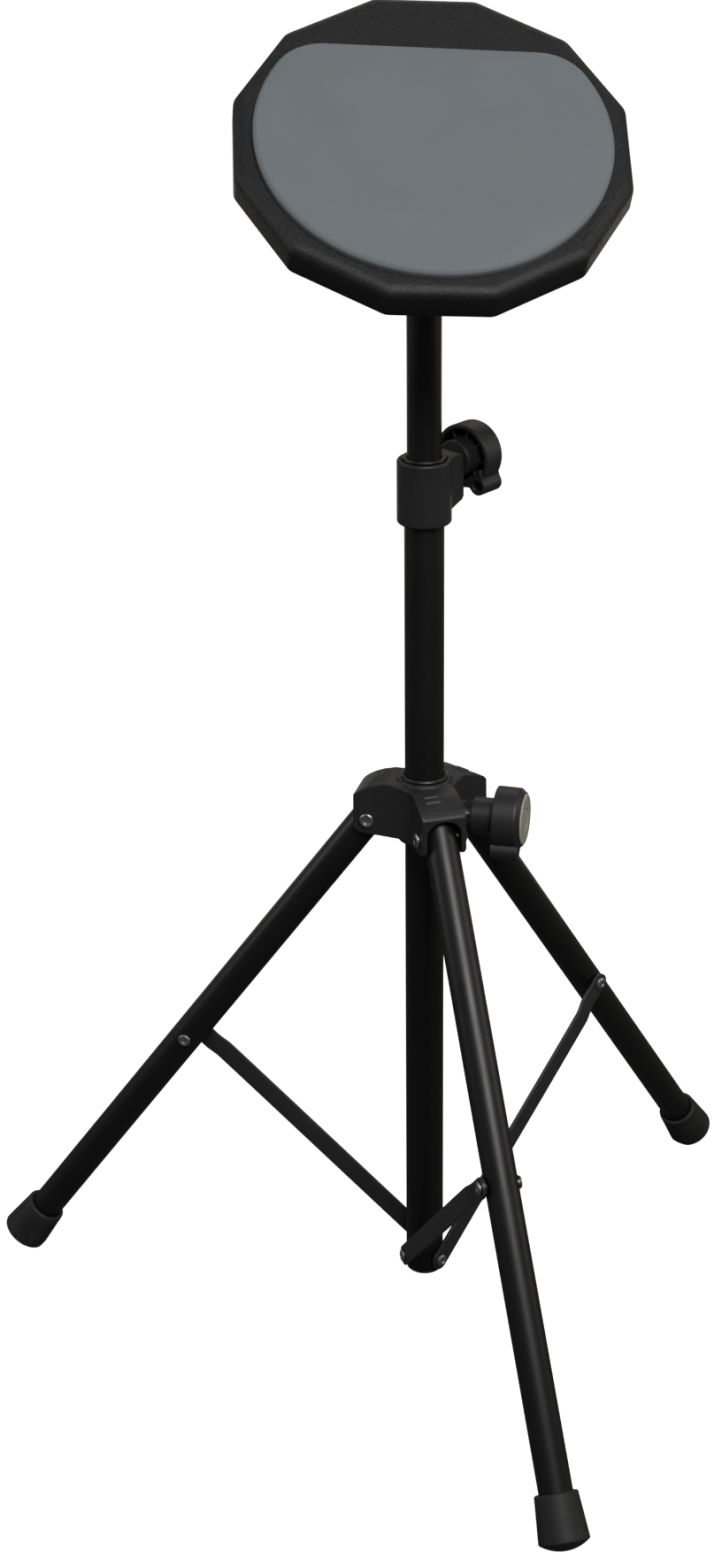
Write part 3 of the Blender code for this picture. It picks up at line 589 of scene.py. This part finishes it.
def playing_outline(inset):
    """Round playing surface with one straight edge, drawn in by an inset."""
    radius = RUBBER_RADIUS - inset
    fillet = RUBBER_FILLET - inset
    centre_y = RUBBER_CHORD - RUBBER_FILLET
    centre_x = math.sqrt((radius - fillet) ** 2 - centre_y ** 2)
    meet = math.degrees(math.atan2(centre_y, centre_x))
    outline = arc((centre_x, centre_y), fillet, 90, meet, 12)
    outline += arc((0, 0), radius, meet, -180 - meet, 120)[1:]
    outline += arc((-centre_x, centre_y), fillet, 180 - meet, 90, 12)[1:]
    return outline


def build_base(place):
    shoulder = 6 * MM
    foot = 1.5 * MM
    corner = 9 * MM
    contour = [(30 * MM, PAD_UNDERSIDE), (foot, PAD_UNDERSIDE), (0.4 * MM, PAD_UNDERSIDE + 0.5 * MM),
               (0, PAD_UNDERSIDE + foot)]
    for step in range(0, 91, 15):
        across, upward = shoulder * math.cos(step * DEG), shoulder * math.sin(step * DEG)
        contour.append((shoulder - across, PAD_TOP - shoulder + upward))
    contour += [(shoulder + 6 * MM, PAD_TOP), (shoulder + 40 * MM, PAD_TOP)]
    rings = [[(x, y, z) for x, y in many_sided(PAD_APOTHEM - inset, corner)] for inset, z in contour]
    dress(lofted("pad_body", rings, place, sharp=None), "pad_base")


def build_rubber(place):
    edge = 1.8 * MM
    contour = [(0.2 * MM, PAD_TOP + 0.1 * MM), (0, RUBBER_TOP - edge - 0.3 * MM),
               (0.1 * MM, RUBBER_TOP - edge), (edge - 0.2 * MM, RUBBER_TOP - 0.12 * MM),
               (edge + 0.4 * MM, RUBBER_TOP), (12 * MM, RUBBER_TOP)]
    rings = [[(x, y, z) for x, y in playing_outline(inset)] for inset, z in contour]
    dress(lofted("playing_surface", rings, place, sharp=50), "pad_rubber")


def build_pad(tilted):
    place = tilted @ Matrix.Rotation(90 * DEG - PAD_SPIN, 4, "Z")
    build_base(place)
    build_rubber(place @ Matrix.Rotation(RUBBER_TURN, 4, "Z"))
    return place


# ---------------------------------------------------------------- tubes, collar and knobs

def build_tubes():
    low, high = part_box("column_tube")
    column_end = low.z
    column = pipe("column_pipe", COLUMN_RADIUS - TUBE_WALL, COLUMN_RADIUS, low.z, high.z, COLUMN)
    dress(column, "column_tube")
    low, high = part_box("mast_tube")
    dress(pipe("mast_pipe", SLIM_RADIUS - TUBE_WALL, SLIM_RADIUS, low.z, high.z, COLUMN), "mast_tube")
    low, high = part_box("column_bottom_plug")
    seat = column_end - 0.3 * MM
    shank, flange, tip = 9.3 * MM, 10.8 * MM, 9.6 * MM
    profile = [(0, high.z), (shank, high.z), (shank, seat), (flange, seat), (flange, seat - MM),
               (tip, low.z), (0, low.z)]
    dress(lathe("column_end_plug", profile, COLUMN), "column_bottom_plug")


def collar_profile():
    mouth = COLLAR_BORE + 1.6 * MM
    return [(COLLAR_BORE, COLLAR_TOP - 1.6 * MM), (COLLAR_BORE + 1.2 * MM, COLLAR_TOP - 0.6 * MM),
            (mouth, COLLAR_TOP), (COLLAR_RADIUS - 0.6 * MM, COLLAR_TOP), (COLLAR_RADIUS, COLLAR_TOP - MM),
            (COLLAR_RADIUS, COLLAR_BOTTOM + MM), (COLLAR_RADIUS - 0.8 * MM, COLLAR_BOTTOM),
            (COLLAR_BORE, COLLAR_BOTTOM)]


def collar_boss(clamp):
    """The block beside the collar that the clamp's stud is screwed into."""
    root = 12.6 * MM
    top = COLLAR_TOP - JOINTS["height_knob_turn"]["pos_m"][2] - 0.4 * MM
    outline = [(root, top), (BOSS_REACH - 3 * MM, top), (BOSS_REACH, top - 2.4 * MM),
               (BOSS_REACH, -BOSS_DROP), (root, -BOSS_DROP - 5 * MM)]
    # The clamp frame's Z is outward and its X is down: the outline stands in that plane.
    stand = axes_at((0, 0, 0), (0, 0, 1), (-1, 0, 0), (0, -1, 0))
    return slab("boss", rounded(outline, 1.6 * MM, closed=True), BOSS_WIDTH, clamp @ stand, 1.2 * MM)


def build_collar():
    clamp = outward_frame("height_knob_turn")
    solids = [lathe("collar_body", collar_profile(), COLUMN, ring=True), collar_boss(clamp)]
    beyond = 5 * MM
    bore = rod("bore", COLLAR_BORE, COLLAR_BOTTOM - beyond, COLLAR_TOP + beyond, COLUMN, soften=0)
    cuts = [bore, stud_hole(clamp)]
    dress(moulded("height_collar", solids, cuts, grain=0.35 * MM, smoothing=4), "clamp_collar")
    low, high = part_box("mast_bush")
    seat = COLLAR_TOP + 0.3 * MM
    outside, lip = 11.1 * MM, 12.5 * MM
    profile = [(SLIM_SOCKET, high.z), (12.0 * MM, high.z), (lip, seat), (outside, seat), (outside, low.z),
               (SLIM_SOCKET, low.z)]
    dress(lathe("mast_liner", profile, COLUMN, ring=True, soften=0.3 * MM), "mast_bush")


def grip_profile(neck_start, back, front):
    """Half section of a knob: face, rounded rim, hollow back, neck and blind bore."""
    face, web, bore_end = front - CAP_RECESS, front - KNOB_WEB, front - STUD_END
    inside = KNOB_RADIUS - KNOB_WALL
    profile = [(0, face), (CAP_RADIUS + 0.3 * MM, face), (CAP_RADIUS + 0.3 * MM, front)]
    profile += arc((KNOB_RADIUS - 2.6 * MM, front - 4.4 * MM), 2.9 * MM, 62, 8, 6)
    profile += [(KNOB_RADIUS + 0.4 * MM, back), (inside, back), (inside, web), (NECK_RADIUS, web),
                (NECK_RADIUS, neck_start), (STUD_BORE, neck_start), (STUD_BORE, bore_end), (0, bore_end)]
    return profile


def grip_lug(place, back, front):
    """The lug at a knob's side, on X, and the hollow in its back."""
    root = 12 * MM
    root_half = 7.5 * MM
    outline = arc((LUG_OFFSET, 0), LUG_RADIUS, -105, 105, 24) + [(root, root_half), (root, -root_half)]
    middle = (back + front - 2.4 * MM) / 2
    depth = front - back - 1.2 * MM
    lug = slab("lug", outline, depth, place @ Matrix.Translation((0, 0, middle)), 0.8 * MM)
    side = Matrix.Translation((LUG_OFFSET, 0, 0))
    hollow = rod("lug_hollow", LUG_RADIUS - 2.2 * MM, back - MM, back + 5 * MM, place @ side, sides=40)
    return lug, hollow


def grip_ribs(place, lug_angle, back, front):
    """Spokes between a knob's neck and its rim, in the hollow of its back."""
    half = 0.6 * MM
    inner, outer = NECK_RADIUS - MM, KNOB_RADIUS - MM
    outline = [(inner, -half), (outer, -half), (outer, half), (inner, half)]
    low = back + 2.2 * MM
    high = front - KNOB_WEB + MM
    lift = Matrix.Translation((0, 0, (low + high) / 2))
    ribs = []
    for index in range(KNOB_RIBS):
        spoke = Matrix.Rotation(lug_angle + index * 2 * math.pi / KNOB_RIBS, 4, "Z")
        ribs.append(slab("rib", outline, high - low, place @ spoke @ lift, 0))
    return ribs


def cap_profile(front):
    """Half section of a knob's cap, with a shallow ring turned into its face."""
    face = front + 0.3 * MM
    middle = face - 0.15 * MM
    groove = face - 0.45 * MM
    seat = front - CAP_RECESS + 0.3 * MM
    return [(0, middle), (5 * MM, middle), (5.4 * MM, groove), (6.0 * MM, groove), (6.4 * MM, face),
            (CAP_RADIUS - 0.7 * MM, face), (CAP_RADIUS, face - 0.6 * MM), (CAP_RADIUS, seat), (0, seat)]


def build_knob(name, joint, neck_start, back, lug_angle, stud_start):
    """Hollow-backed clamp knob with ribs, one lug, its cap and its threaded stud."""
    place = outward_frame(joint)
    front = back + KNOB_DEPTH
    shell = lathe("knob_shell", grip_profile(neck_start, back, front), place, soften=0.5 * MM)
    lug, hollow = grip_lug(place @ Matrix.Rotation(lug_angle, 4, "Z"), back, front)
    solids = [shell, lug] + grip_ribs(place, lug_angle, back, front)
    core = rod("core", STUD_BORE, neck_start - MM, front - STUD_END, place, soften=0, sides=40)
    dress(moulded(name + "_grip", solids, [hollow, core], grain=0.34 * MM, smoothing=3), name)
    dress(lathe(name + "_disc", cap_profile(front), place, soften=0.2 * MM), name + "_cap")
    thread = threaded(STUD_RADIUS, stud_start, front - STUD_END - 0.3 * MM)
    dress(lathe(name + "_screw", thread, place, sides=40, soften=0), name + "_stud")


def threaded(radius, bottom, top, pitch=1.0 * MM):
    """Profile of a threaded rod, its grooves as rings, from the top down."""
    root = radius - 0.32 * MM
    points = [(0, top), (root, top)]
    for index in range(int((top - bottom) / pitch)):
        z = top - index * pitch
        points += [(root, z - 0.15 * pitch), (radius, z - 0.45 * pitch), (radius, z - 0.6 * pitch),
                   (root, z - 0.9 * pitch)]
    return points + [(root, bottom), (0, bottom)]


# ---------------------------------------------------------------- hub

def joint_radius(leg):
    place = joint_place(f"leg_{leg}_fold")[0]
    return math.hypot(place.x - MAST_AT.x, place.y - MAST_AT.y)


def lobe_outline():
    """Side view of a lobe: outward from the column, up from the leg's pivot."""
    root = 5 * MM
    falls = ((root, 0), (20 * MM, 0.3 * MM), (26 * MM, 1.4 * MM), (31 * MM, 3.3 * MM),
             (35 * MM, 5.7 * MM), (37.6 * MM, 7.6 * MM), (LOBE_REACH, 9 * MM))
    heel = 3 * MM
    outline = [(reach, LOBE_TOP - fall) for reach, fall in falls]
    outline += arc((LOBE_REACH - heel, LOBE_BOTTOM + heel), heel, 0, -90, 6)
    return outline + [(root, LOBE_BOTTOM - 3 * MM)]


def web_outline():
    """Plan of the filled hollow between two lobes; X lies halfway between them."""
    corner = LOBE_HALF_WIDTH / math.sin(60 * DEG)
    centre = corner + WEB_RADIUS / math.sin(60 * DEG)
    return arc((centre, 0), WEB_RADIUS, 208, 152, 20) + [(6 * MM, 8 * MM), (6 * MM, -8 * MM)]


def lobe_solids(leg):
    """A lobe, the web beside it, and the short raised lines across its roof."""
    hub_axis = lobe_frame(leg) @ Matrix.Translation((-joint_radius(leg), 0, 0))
    width = 2 * LOBE_HALF_WIDTH
    rim = 1.1 * MM
    solids = [slab("lobe", lobe_outline(), width, hub_axis @ SIDEWAYS_BACK, rim)]
    top = LOBE_TOP - 1.2 * MM
    bottom = LOBE_BOTTOM - 1.5 * MM
    between = Matrix.Rotation(60 * DEG, 4, "Z") @ Matrix.Translation((0, 0, (top + bottom) / 2))
    solids.append(slab("web", web_outline(), top - bottom, hub_axis @ between, rim))
    line_half = 4.5 * MM
    for reach, drop in ((24.5 * MM, 1.05 * MM), (28.5 * MM, 2.3 * MM)):
        across = hub_axis @ Matrix.Translation((reach, -3.3 * MM, LOBE_TOP + 0.25 * MM - drop)) @ SIDEWAYS
        solids.append(rod("line", 0.65 * MM, -line_half, line_half, across, sides=20))
    return solids


def lobe_cuts(leg):
    """The doorway that a leg passes through, and its bolt's hole."""
    place = lobe_frame(leg)
    floor = -20 * MM
    round_top = arc((0, 0), ARCH_RADIUS, 0, 180, 32)
    doorway = [(x, ARCH_CENTRE + y * ARCH_HEIGHT / ARCH_RADIUS) for x, y in round_top]
    doorway += [(-ARCH_RADIUS, floor), (ARCH_RADIUS, floor)]
    depth = 30 * MM
    edgeways = axes_at((0, 0, 0), (0, 1, 0), (0, 0, 1), (1, 0, 0))
    middle = Matrix.Translation((ARCH_INNER_END + depth / 2 - joint_radius(leg), 0, 0))
    return [slab("doorway", doorway, depth, place @ middle @ edgeways, 0), bolt_hole(place, sides=32)]


def build_hub():
    solids = [pipe("sleeve", HUB_BORE - MM, HUB_RADIUS, HUB_BOTTOM, HUB_TOP, COLUMN, soften=0.8 * MM)]
    cuts = []
    for leg in LEGS:
        solids += lobe_solids(leg)
        cuts += lobe_cuts(leg)
    clamp = outward_frame("hub_knob_turn")
    solids.append(rod("hub_boss", 8.5 * MM, 13.6 * MM, 23.7 * MM, clamp, soften=MM, sides=64))
    beyond = 9 * MM
    cuts.append(stud_hole(clamp))
    cuts.append(rod("bore", HUB_BORE, HUB_BOTTOM - beyond, HUB_TOP + beyond, COLUMN, soften=0))
    dress(moulded("leg_hub", solids, cuts, grain=0.4 * MM, smoothing=5), "hub")
    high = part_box("hub_bush")[1].z
    seat = HUB_TOP + 0.3 * MM
    outside, bead = 12.6 * MM, 13.5 * MM
    profile = [(BUSH_BORE, high), (12.7 * MM, high), (bead, high - 0.9 * MM), (bead, seat),
               (outside, seat), (outside, HUB_BOTTOM), (BUSH_BORE, HUB_BOTTOM)]
    dress(lathe("hub_liner", profile, COLUMN, ring=True, soften=0.4 * MM), "hub_bush")


# ---------------------------------------------------------------- legs and struts

def foot_profile():
    bore = SLIM_RADIUS + 0.3 * MM
    floor = -LEG_LENGTH - 0.3 * MM
    dome_centre = -FOOT_EDGE + math.sqrt(FOOT_DOME_RADIUS ** 2 - FOOT_EDGE_RADIUS ** 2)
    edge_angle = -math.degrees(math.acos(FOOT_EDGE_RADIUS / FOOT_DOME_RADIUS))
    profile = [(0, floor), (bore, floor), (bore, -FOOT_RIM), (FOOT_RIM_RADIUS - 0.8 * MM, -FOOT_RIM),
               (FOOT_RIM_RADIUS, -FOOT_RIM - 0.9 * MM), (FOOT_RIM_RADIUS + 0.2 * MM, -FOOT_RIM - 4 * MM),
               (FOOT_EDGE_RADIUS - 0.2 * MM, -FOOT_EDGE + 3 * MM)]
    profile += arc((0, dome_centre), FOOT_DOME_RADIUS, edge_angle, -90, 24)
    profile[-1] = (0, dome_centre - FOOT_DOME_RADIUS)
    return profile


def build_hinge_bolt(leg):
    """The barrel nut in a lobe's one cheek and the bolt in the other."""
    hinge = lobe_frame(leg)
    head = 4.3 * MM
    socket = 2.3 * MM
    barrel, shank = 3 * MM, 2 * MM
    top = CHEEK + 1.6 * MM
    rim = [(socket, top - 0.2 * MM), (2.7 * MM, top), (head - 0.6 * MM, top), (head, top - 0.7 * MM),
           (head, CHEEK)]
    profile = rim + [(barrel, CHEEK), (barrel, -9 * MM), (socket, -9 * MM)]
    nut = lathe(leg + "_barrel_nut", profile, hinge @ SIDEWAYS_BACK, ring=True, sides=64,
                soften=0.25 * MM)
    dress(nut, "leg_barrel_nut_" + leg)
    floor = CHEEK + 0.3 * MM
    profile = [(0, floor), (2.0 * MM, floor)] + rim + [(shank, CHEEK), (shank, -6 * MM), (0, -6 * MM)]
    bolt = lathe(leg + "_barrel_bolt", profile, hinge @ SIDEWAYS, sides=64, soften=0.25 * MM)
    dress(bolt, "leg_bolt_" + leg)


def build_leg(leg):
    place = leg_frame(leg)
    tube = pipe(leg + "_leg_pipe", SLIM_RADIUS - TUBE_WALL, SLIM_RADIUS, -LEG_LENGTH, LEG_TOP, place)
    dress(tube, "leg_tube_" + leg)
    plug = rod(leg + "_leg_plug", 8.0 * MM, LEG_TOP - 2.8 * MM, LEG_TOP, place, soften=0.6 * MM)
    dress(plug, "leg_top_plug_" + leg)
    foot = lathe(leg + "_rubber_foot", foot_profile(), place, soften=0.6 * MM)
    for vert in foot.data.vertices:
        vert.co.z = max(vert.co.z, 0)  # flat where it stands on the floor
    dress(foot, "leg_foot_" + leg)
    build_hinge_bolt(leg)


def rivet_head(seat, height):
    """Domed head with a punched centre, from its middle out and down to its seat."""
    dimple = 1.3 * MM
    top = seat + height
    return [(0, top - 0.7 * MM), (dimple, top - 0.6 * MM), (dimple + 0.3 * MM, top),
            (RIVET_RADIUS - 1.1 * MM, top - 0.1 * MM), (RIVET_RADIUS - 0.15 * MM, seat + height * 0.45),
            (RIVET_RADIUS, seat)]


def strut_offset(z, length):
    """How far the bar stands from the leg's plane, with a joggle just short of the leg."""
    beyond = 9 * MM
    bends = ((-length - beyond, STRUT_LOW_OFFSET), (-length + 12 * MM, STRUT_LOW_OFFSET),
             (-25 * MM, STRUT_BEND_OFFSET), (-14 * MM, STRUT_TOP_OFFSET), (beyond, STRUT_TOP_OFFSET))
    for (start, first), (end, second) in zip(bends, bends[1:]):
        if z <= end:
            t = (z - start) / (end - start)
            return first + (second - first) * t * t * (3 - 2 * t)
    return bends[-1][1]


def strut_rings(length):
    """Cross-sections along the bar, with rounded ends."""
    quarter = [i * 4.5 * DEG for i in range(21)]
    stations = [-length - STRUT_RADIUS * math.cos(a) for a in quarter]
    stations += [-length + 4 * MM + i * (length - 34 * MM) / 24 for i in range(25)]
    stations += [-28 * MM + i * MM for i in range(27)]
    stations += [STRUT_RADIUS * math.sin(a) for a in quarter]
    rings = []
    for z in stations:
        over = max(z, -length - z, 0)
        half = max(math.sqrt(max(STRUT_RADIUS ** 2 - over ** 2, 0)), 0.05 * MM)
        soft = min(0.35 * MM, half * 0.5)
        corners = [(-half, -STRUT_HALF), (half, -STRUT_HALF), (half, STRUT_HALF), (-half, STRUT_HALF)]
        ring = rounded(corners, soft, steps=3, closed=True)
        rings.append([(x, y - strut_offset(z, length), z) for x, y in ring])
    return rings


def build_strut(leg):
    place, length = strut_frame(leg)
    dress(lofted(leg + "_strut_bar", strut_rings(length), place), "strut_" + leg)
    pin = place @ SIDEWAYS_BACK
    seat = STRUT_TOP_OFFSET + STRUT_HALF + 0.3 * MM
    far_side = -SLIM_RADIUS - 0.3 * MM
    far_top = far_side - 1.3 * MM
    profile = rivet_head(seat, 1.5 * MM)
    profile += [(RIVET_SHANK, seat), (RIVET_SHANK, far_side), (RIVET_RADIUS, far_side),
                (RIVET_RADIUS - 0.7 * MM, far_top), (1.6 * MM, far_top), (1.3 * MM, far_side - 0.7 * MM),
                (0, far_side - 0.7 * MM)]
    dress(lathe(leg + "_leg_rivet", profile, pin, sides=56, soften=0.2 * MM), "leg_rivet_" + leg)
    washer = pipe(leg + "_washer", 2.8 * MM, 5 * MM, -far_side, 10.3 * MM, pin, sides=56,
                  soften=0.15 * MM)
    dress(washer, "strut_washer_" + leg)
    seat = STRUT_LOW_OFFSET + STRUT_HALF + 0.3 * MM
    inner_end = 11.4 * MM
    profile = rivet_head(seat, 1.3 * MM) + [(RIVET_SHANK, seat), (RIVET_SHANK, inner_end), (0, inner_end)]
    low_pin = place @ Matrix.Translation((0, 0, -length)) @ SIDEWAYS_BACK
    rivet = lathe(leg + "_column_rivet", profile, low_pin, sides=56, soften=0.2 * MM)
    dress(rivet, "column_rivet_" + leg)


# ---------------------------------------------------------------- tilter

def build_knuckle(upright):
    """Socket on the mast's end, with the tongue that the clevis straddles."""
    pivot_z = upright.translation.z
    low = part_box("tilter_base")[0].z - pivot_z
    mast_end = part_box("mast_tube")[1].z + 0.3 * MM - pivot_z
    top = mast_end + 3.7 * MM
    outside = 12.5 * MM
    profile = [(0, top), (11 * MM, top), (outside, top - 1.5 * MM), (outside, low), (SLIM_SOCKET, low),
               (SLIM_SOCKET, mast_end), (0, mast_end)]
    socket = lathe("socket", profile, upright)
    outline = arc((0, 0), EAR_RADIUS, 0, 180, 32)
    outline += [(-EAR_RADIUS, top - 2 * MM), (EAR_RADIUS, top - 2 * MM)]
    tongue = slab("tongue", outline, 13.4 * MM, upright @ SIDEWAYS_BACK, MM)
    dress(moulded("tilter_knuckle", [socket, tongue], [bolt_hole(upright)]), "tilter_base")


def build_clevis(tilted):
    solids = [rod("platform", 19 * MM, 24 * MM, PLATFORM_TOP, tilted, soften=MM)]
    root = 26.5 * MM
    outline = arc((0, 0), EAR_RADIUS, 180, 360, 32) + [(EAR_RADIUS, root), (-EAR_RADIUS, root)]
    for side in (1, -1):
        middle = tilted @ Matrix.Translation((0, side * EAR_OFFSET, 0))
        solids.append(slab("ear", outline, 2 * EAR_HALF, middle @ SIDEWAYS_BACK, 0.7 * MM))
    cuts = [bolt_hole(tilted),
            rod("platform_hole", PAD_STUD_HOLE, 20 * MM, 40 * MM, tilted, soften=0, sides=40)]
    dress(moulded("tilter_clevis", solids, cuts, grain=0.4 * MM, smoothing=3), "tilter_head")


def build_pad_stud(tilted):
    """Stud between the tilter and the pad, with its lock nut and washer."""
    stud = threaded(PAD_STUD_RADIUS, 16.5 * MM, 47 * MM, 1.25 * MM)
    dress(lathe("pad_thread", stud, tilted, sides=48, soften=0), "pad_stud")
    corner = 7.5 * MM
    turns = [i * 60 * DEG for i in range(6)]
    hexagon = [(corner * math.cos(a), corner * math.sin(a)) for a in turns]
    nut_place = tilted @ Matrix.Translation((0, 0, 20.8 * MM))
    dress(slab("lock_nut", hexagon, 5.6 * MM, nut_place, 0.6 * MM), "pad_lock_nut")
    bottom = PLATFORM_TOP + 0.3 * MM
    gasket = pipe("pad_gasket", PAD_STUD_HOLE, 14 * MM, bottom, 32 * MM, tilted, soften=0.7 * MM)
    dress(gasket, "pad_washer")


def build_tilt_bolt(tilted):
    shank, end = 3 * MM, -22 * MM
    profile = []
    for step in range(0, 91, 10):
        across, outward = 6.5 * MM * math.sin(step * DEG), 3.6 * MM * math.cos(step * DEG)
        profile.append((across, BOLT_SEAT + outward))
    profile += [(shank, BOLT_SEAT), (shank, end), (0, end)]
    dress(lathe("tilt_bolt", profile, tilted @ SIDEWAYS, sides=64, soften=0.2 * MM), "tilter_bolt")
    washer = pipe("tilt_washer", BOLT_HOLE, 6.5 * MM, BOLT_SEAT, BOLT_SEAT + 1.2 * MM,
                  tilted @ SIDEWAYS_BACK, sides=64, soften=0.2 * MM)
    dress(washer, "tilter_washer")


def build_wing_nut(tilted):
    place = tilted @ SIDEWAYS_BACK
    start = BOLT_SEAT + 1.5 * MM
    solids = [pipe("nut_barrel", BOLT_HOLE, 5.5 * MM, start, start + 7 * MM, place, sides=64)]
    stand = axes_at((0, 0, 0), (1, 0, 0), (0, 0, 1), (0, -1, 0))
    wing = ((4.4, 1), (9, 3), (15, 12), (12, 14), (4.4, 6.4))  # across and outward, in millimetres
    for side in (1, -1):
        outline = [(side * across * MM, start + outward * MM) for across, outward in wing]
        outline = rounded(outline, 1.4 * MM, closed=True)
        solids.append(slab("wing", outline, 2.4 * MM, place @ stand, 0.5 * MM))
    dress(moulded("wing_nut", solids, grain=0.32 * MM, smoothing=3), "tilter_wing_nut")


def build_tilter(upright, tilted):
    build_knuckle(upright)
    build_clevis(tilted)
    build_pad_stud(tilted)
    build_tilt_bolt(tilted)
    build_wing_nut(tilted)


def build_insert(place):
    """Threaded flange under the pad, and the three screws that hold it."""
    top = PAD_UNDERSIDE - 0.3 * MM
    bottom = top - 3 * MM
    neck, neck_end, flange = 8 * MM, PAD_UNDERSIDE + 13 * MM, 25 * MM
    profile = [(PAD_STUD_HOLE, neck_end), (neck, neck_end), (neck, top), (flange, top), (flange, bottom),
               (PAD_STUD_HOLE, bottom)]
    dress(lathe("pad_flange", profile, place, ring=True, soften=0.5 * MM), "pad_insert")
    head = bottom - 0.3 * MM
    shank, tip = 1.5 * MM, PAD_UNDERSIDE + 9 * MM
    profile = [(0, tip), (shank, tip), (shank, head), (3 * MM, head), (2.6 * MM, head - 1.2 * MM),
               (1.3 * MM, head - 1.6 * MM), (1.0 * MM, head - 0.9 * MM), (0, head - 0.9 * MM)]
    ring = 19.5 * MM
    for number in (1, 2, 3):
        turn = (number - 1) * 120 * DEG
        spot = place @ Matrix.Translation((ring * math.cos(turn), ring * math.sin(turn), 0))
        screw = lathe(f"flange_screw_{number}", profile, spot, sides=40, soften=0.2 * MM)
        dress(screw, f"insert_screw_{number}")


# ---------------------------------------------------------------- setting

def build_camera():
    forward = Vector((math.sin(CAMERA_YAW) * math.cos(CAMERA_PITCH),
                      math.cos(CAMERA_YAW) * math.cos(CAMERA_PITCH), -math.sin(CAMERA_PITCH)))
    level = Vector((math.cos(CAMERA_YAW), -math.sin(CAMERA_YAW), 0))
    lift = level.cross(forward)
    right = level * math.cos(CAMERA_ROLL) + lift * math.sin(CAMERA_ROLL)
    up = lift * math.cos(CAMERA_ROLL) - level * math.sin(CAMERA_ROLL)
    data = bpy.data.cameras.new("camera")
    data.sensor_width = 36
    data.lens = CAMERA_LENS
    data.clip_start = 0.05
    camera = bpy.data.objects.new("camera", data)
    bpy.context.scene.collection.objects.link(camera)
    place = (MAST_AT.x, MAST_AT.y - CAMERA_DISTANCE, CAMERA_HEIGHT)
    camera.matrix_world = axes_at(place, right, up, -forward)
    bpy.context.scene.camera = camera


def softbox(name, place, target, size, power, colour=(1.0, 1.0, 1.0)):
    data = bpy.data.lights.new(name, "AREA")
    data.shape = "RECTANGLE"
    data.size, data.size_y = size
    data.energy = power
    data.color = colour
    lamp = bpy.data.objects.new(name, data)
    bpy.context.scene.collection.objects.link(lamp)
    lamp.visible_camera = False
    lamp.location = place
    lamp.rotation_euler = (Vector(target) - Vector(place)).to_track_quat("-Z", "Y").to_euler()


def build_paper():
    """White floor of the studio."""
    work = bmesh.new()
    bmesh.ops.create_grid(work, x_segments=1, y_segments=1, size=14)
    floor = piece("studio_floor", work, Matrix.Identity(4), sharp=None)
    paper = Finish("studio_paper", (0.8, 0.8, 0.8), 0.9, Emission_Strength=1.0)
    # The paper looks white to the camera, and throws little light back up at the stand.
    watched = paper.node("ShaderNodeLightPath", {}, {}, "Is Camera Ray")
    paper.set("Base Color", paper.mix(watched, PAPER_BOUNCE, (0.5, 0.5, 0.5)))
    paper.set("Emission Color", paper.mix(watched, (0.0, 0.0, 0.0), (1.0, 1.0, 1.0)))
    floor.data.materials.append(paper.material)


def build_air():
    """White walls of the studio, all round."""
    world = bpy.data.worlds.new("studio_air")
    world.use_nodes = True
    air = Nodes(world.node_tree)
    background = world.node_tree.nodes["Background"].inputs
    # The room looks white to the camera, and lights the stand only dimly.
    seen = air.node("ShaderNodeLightPath", {}, {}, "Is Camera Ray")
    air.feed(background["Color"], (1.0, 1.0, 1.0))
    air.feed(background["Strength"], ROOM_GLOW + (1 - ROOM_GLOW) * seen)
    bpy.context.scene.world = world


def build_lights():
    softbox("key", (0.6, -1.7, 2.3), (0, 0, 0.4), (1.0, 0.9), 46)
    softbox("right", (2.2, 0.2, 1.2), (0, 0, 0.4), (0.6, 1.6), 7, WARM)
    softbox("left", (-2.2, 0.1, 1.4), (0, 0, 0.4), (0.5, 1.6), 9)
    softbox("back", (0.2, 2.2, 2.2), (0, 0, 0.5), (1.6, 0.8), 6, WARM)
    # This one lies on the floor behind the stand and lights the tubes from low down.
    softbox("card", (0, 1.5, 0.02), (0, 1.2, 1.0), (3.2, 1.6), 16, WARM)


def finish_plain_nodes():
    """The nodes that no made piece stands for keep their CAD shape and get their slot's finish."""
    for name, node in frame["nodes"].items():
        if not node.hide_render:
            node.data.materials.clear()
            node.data.materials.append(FINISHES[SLOT_OF[name]])


build_camera()
build_tubes()
build_collar()
build_knob("height_knob", "height_knob_turn", BOSS_REACH + 0.6 * MM, 32 * MM, -37 * DEG, 10 * MM)
build_knob("hub_knob", "hub_knob_turn", 28.6 * MM, 42 * MM, -35 * DEG, 11.7 * MM)
build_hub()
for leg_name in LEGS:
    build_leg(leg_name)
    build_strut(leg_name)
UPRIGHT_FRAME, TILTED_FRAME = tilt_frames()
build_tilter(UPRIGHT_FRAME, TILTED_FRAME)
build_insert(build_pad(TILTED_FRAME))
finish_plain_nodes()
build_paper()
build_air()
build_lights()
bpy.context.scene.view_settings.view_transform = "Standard"
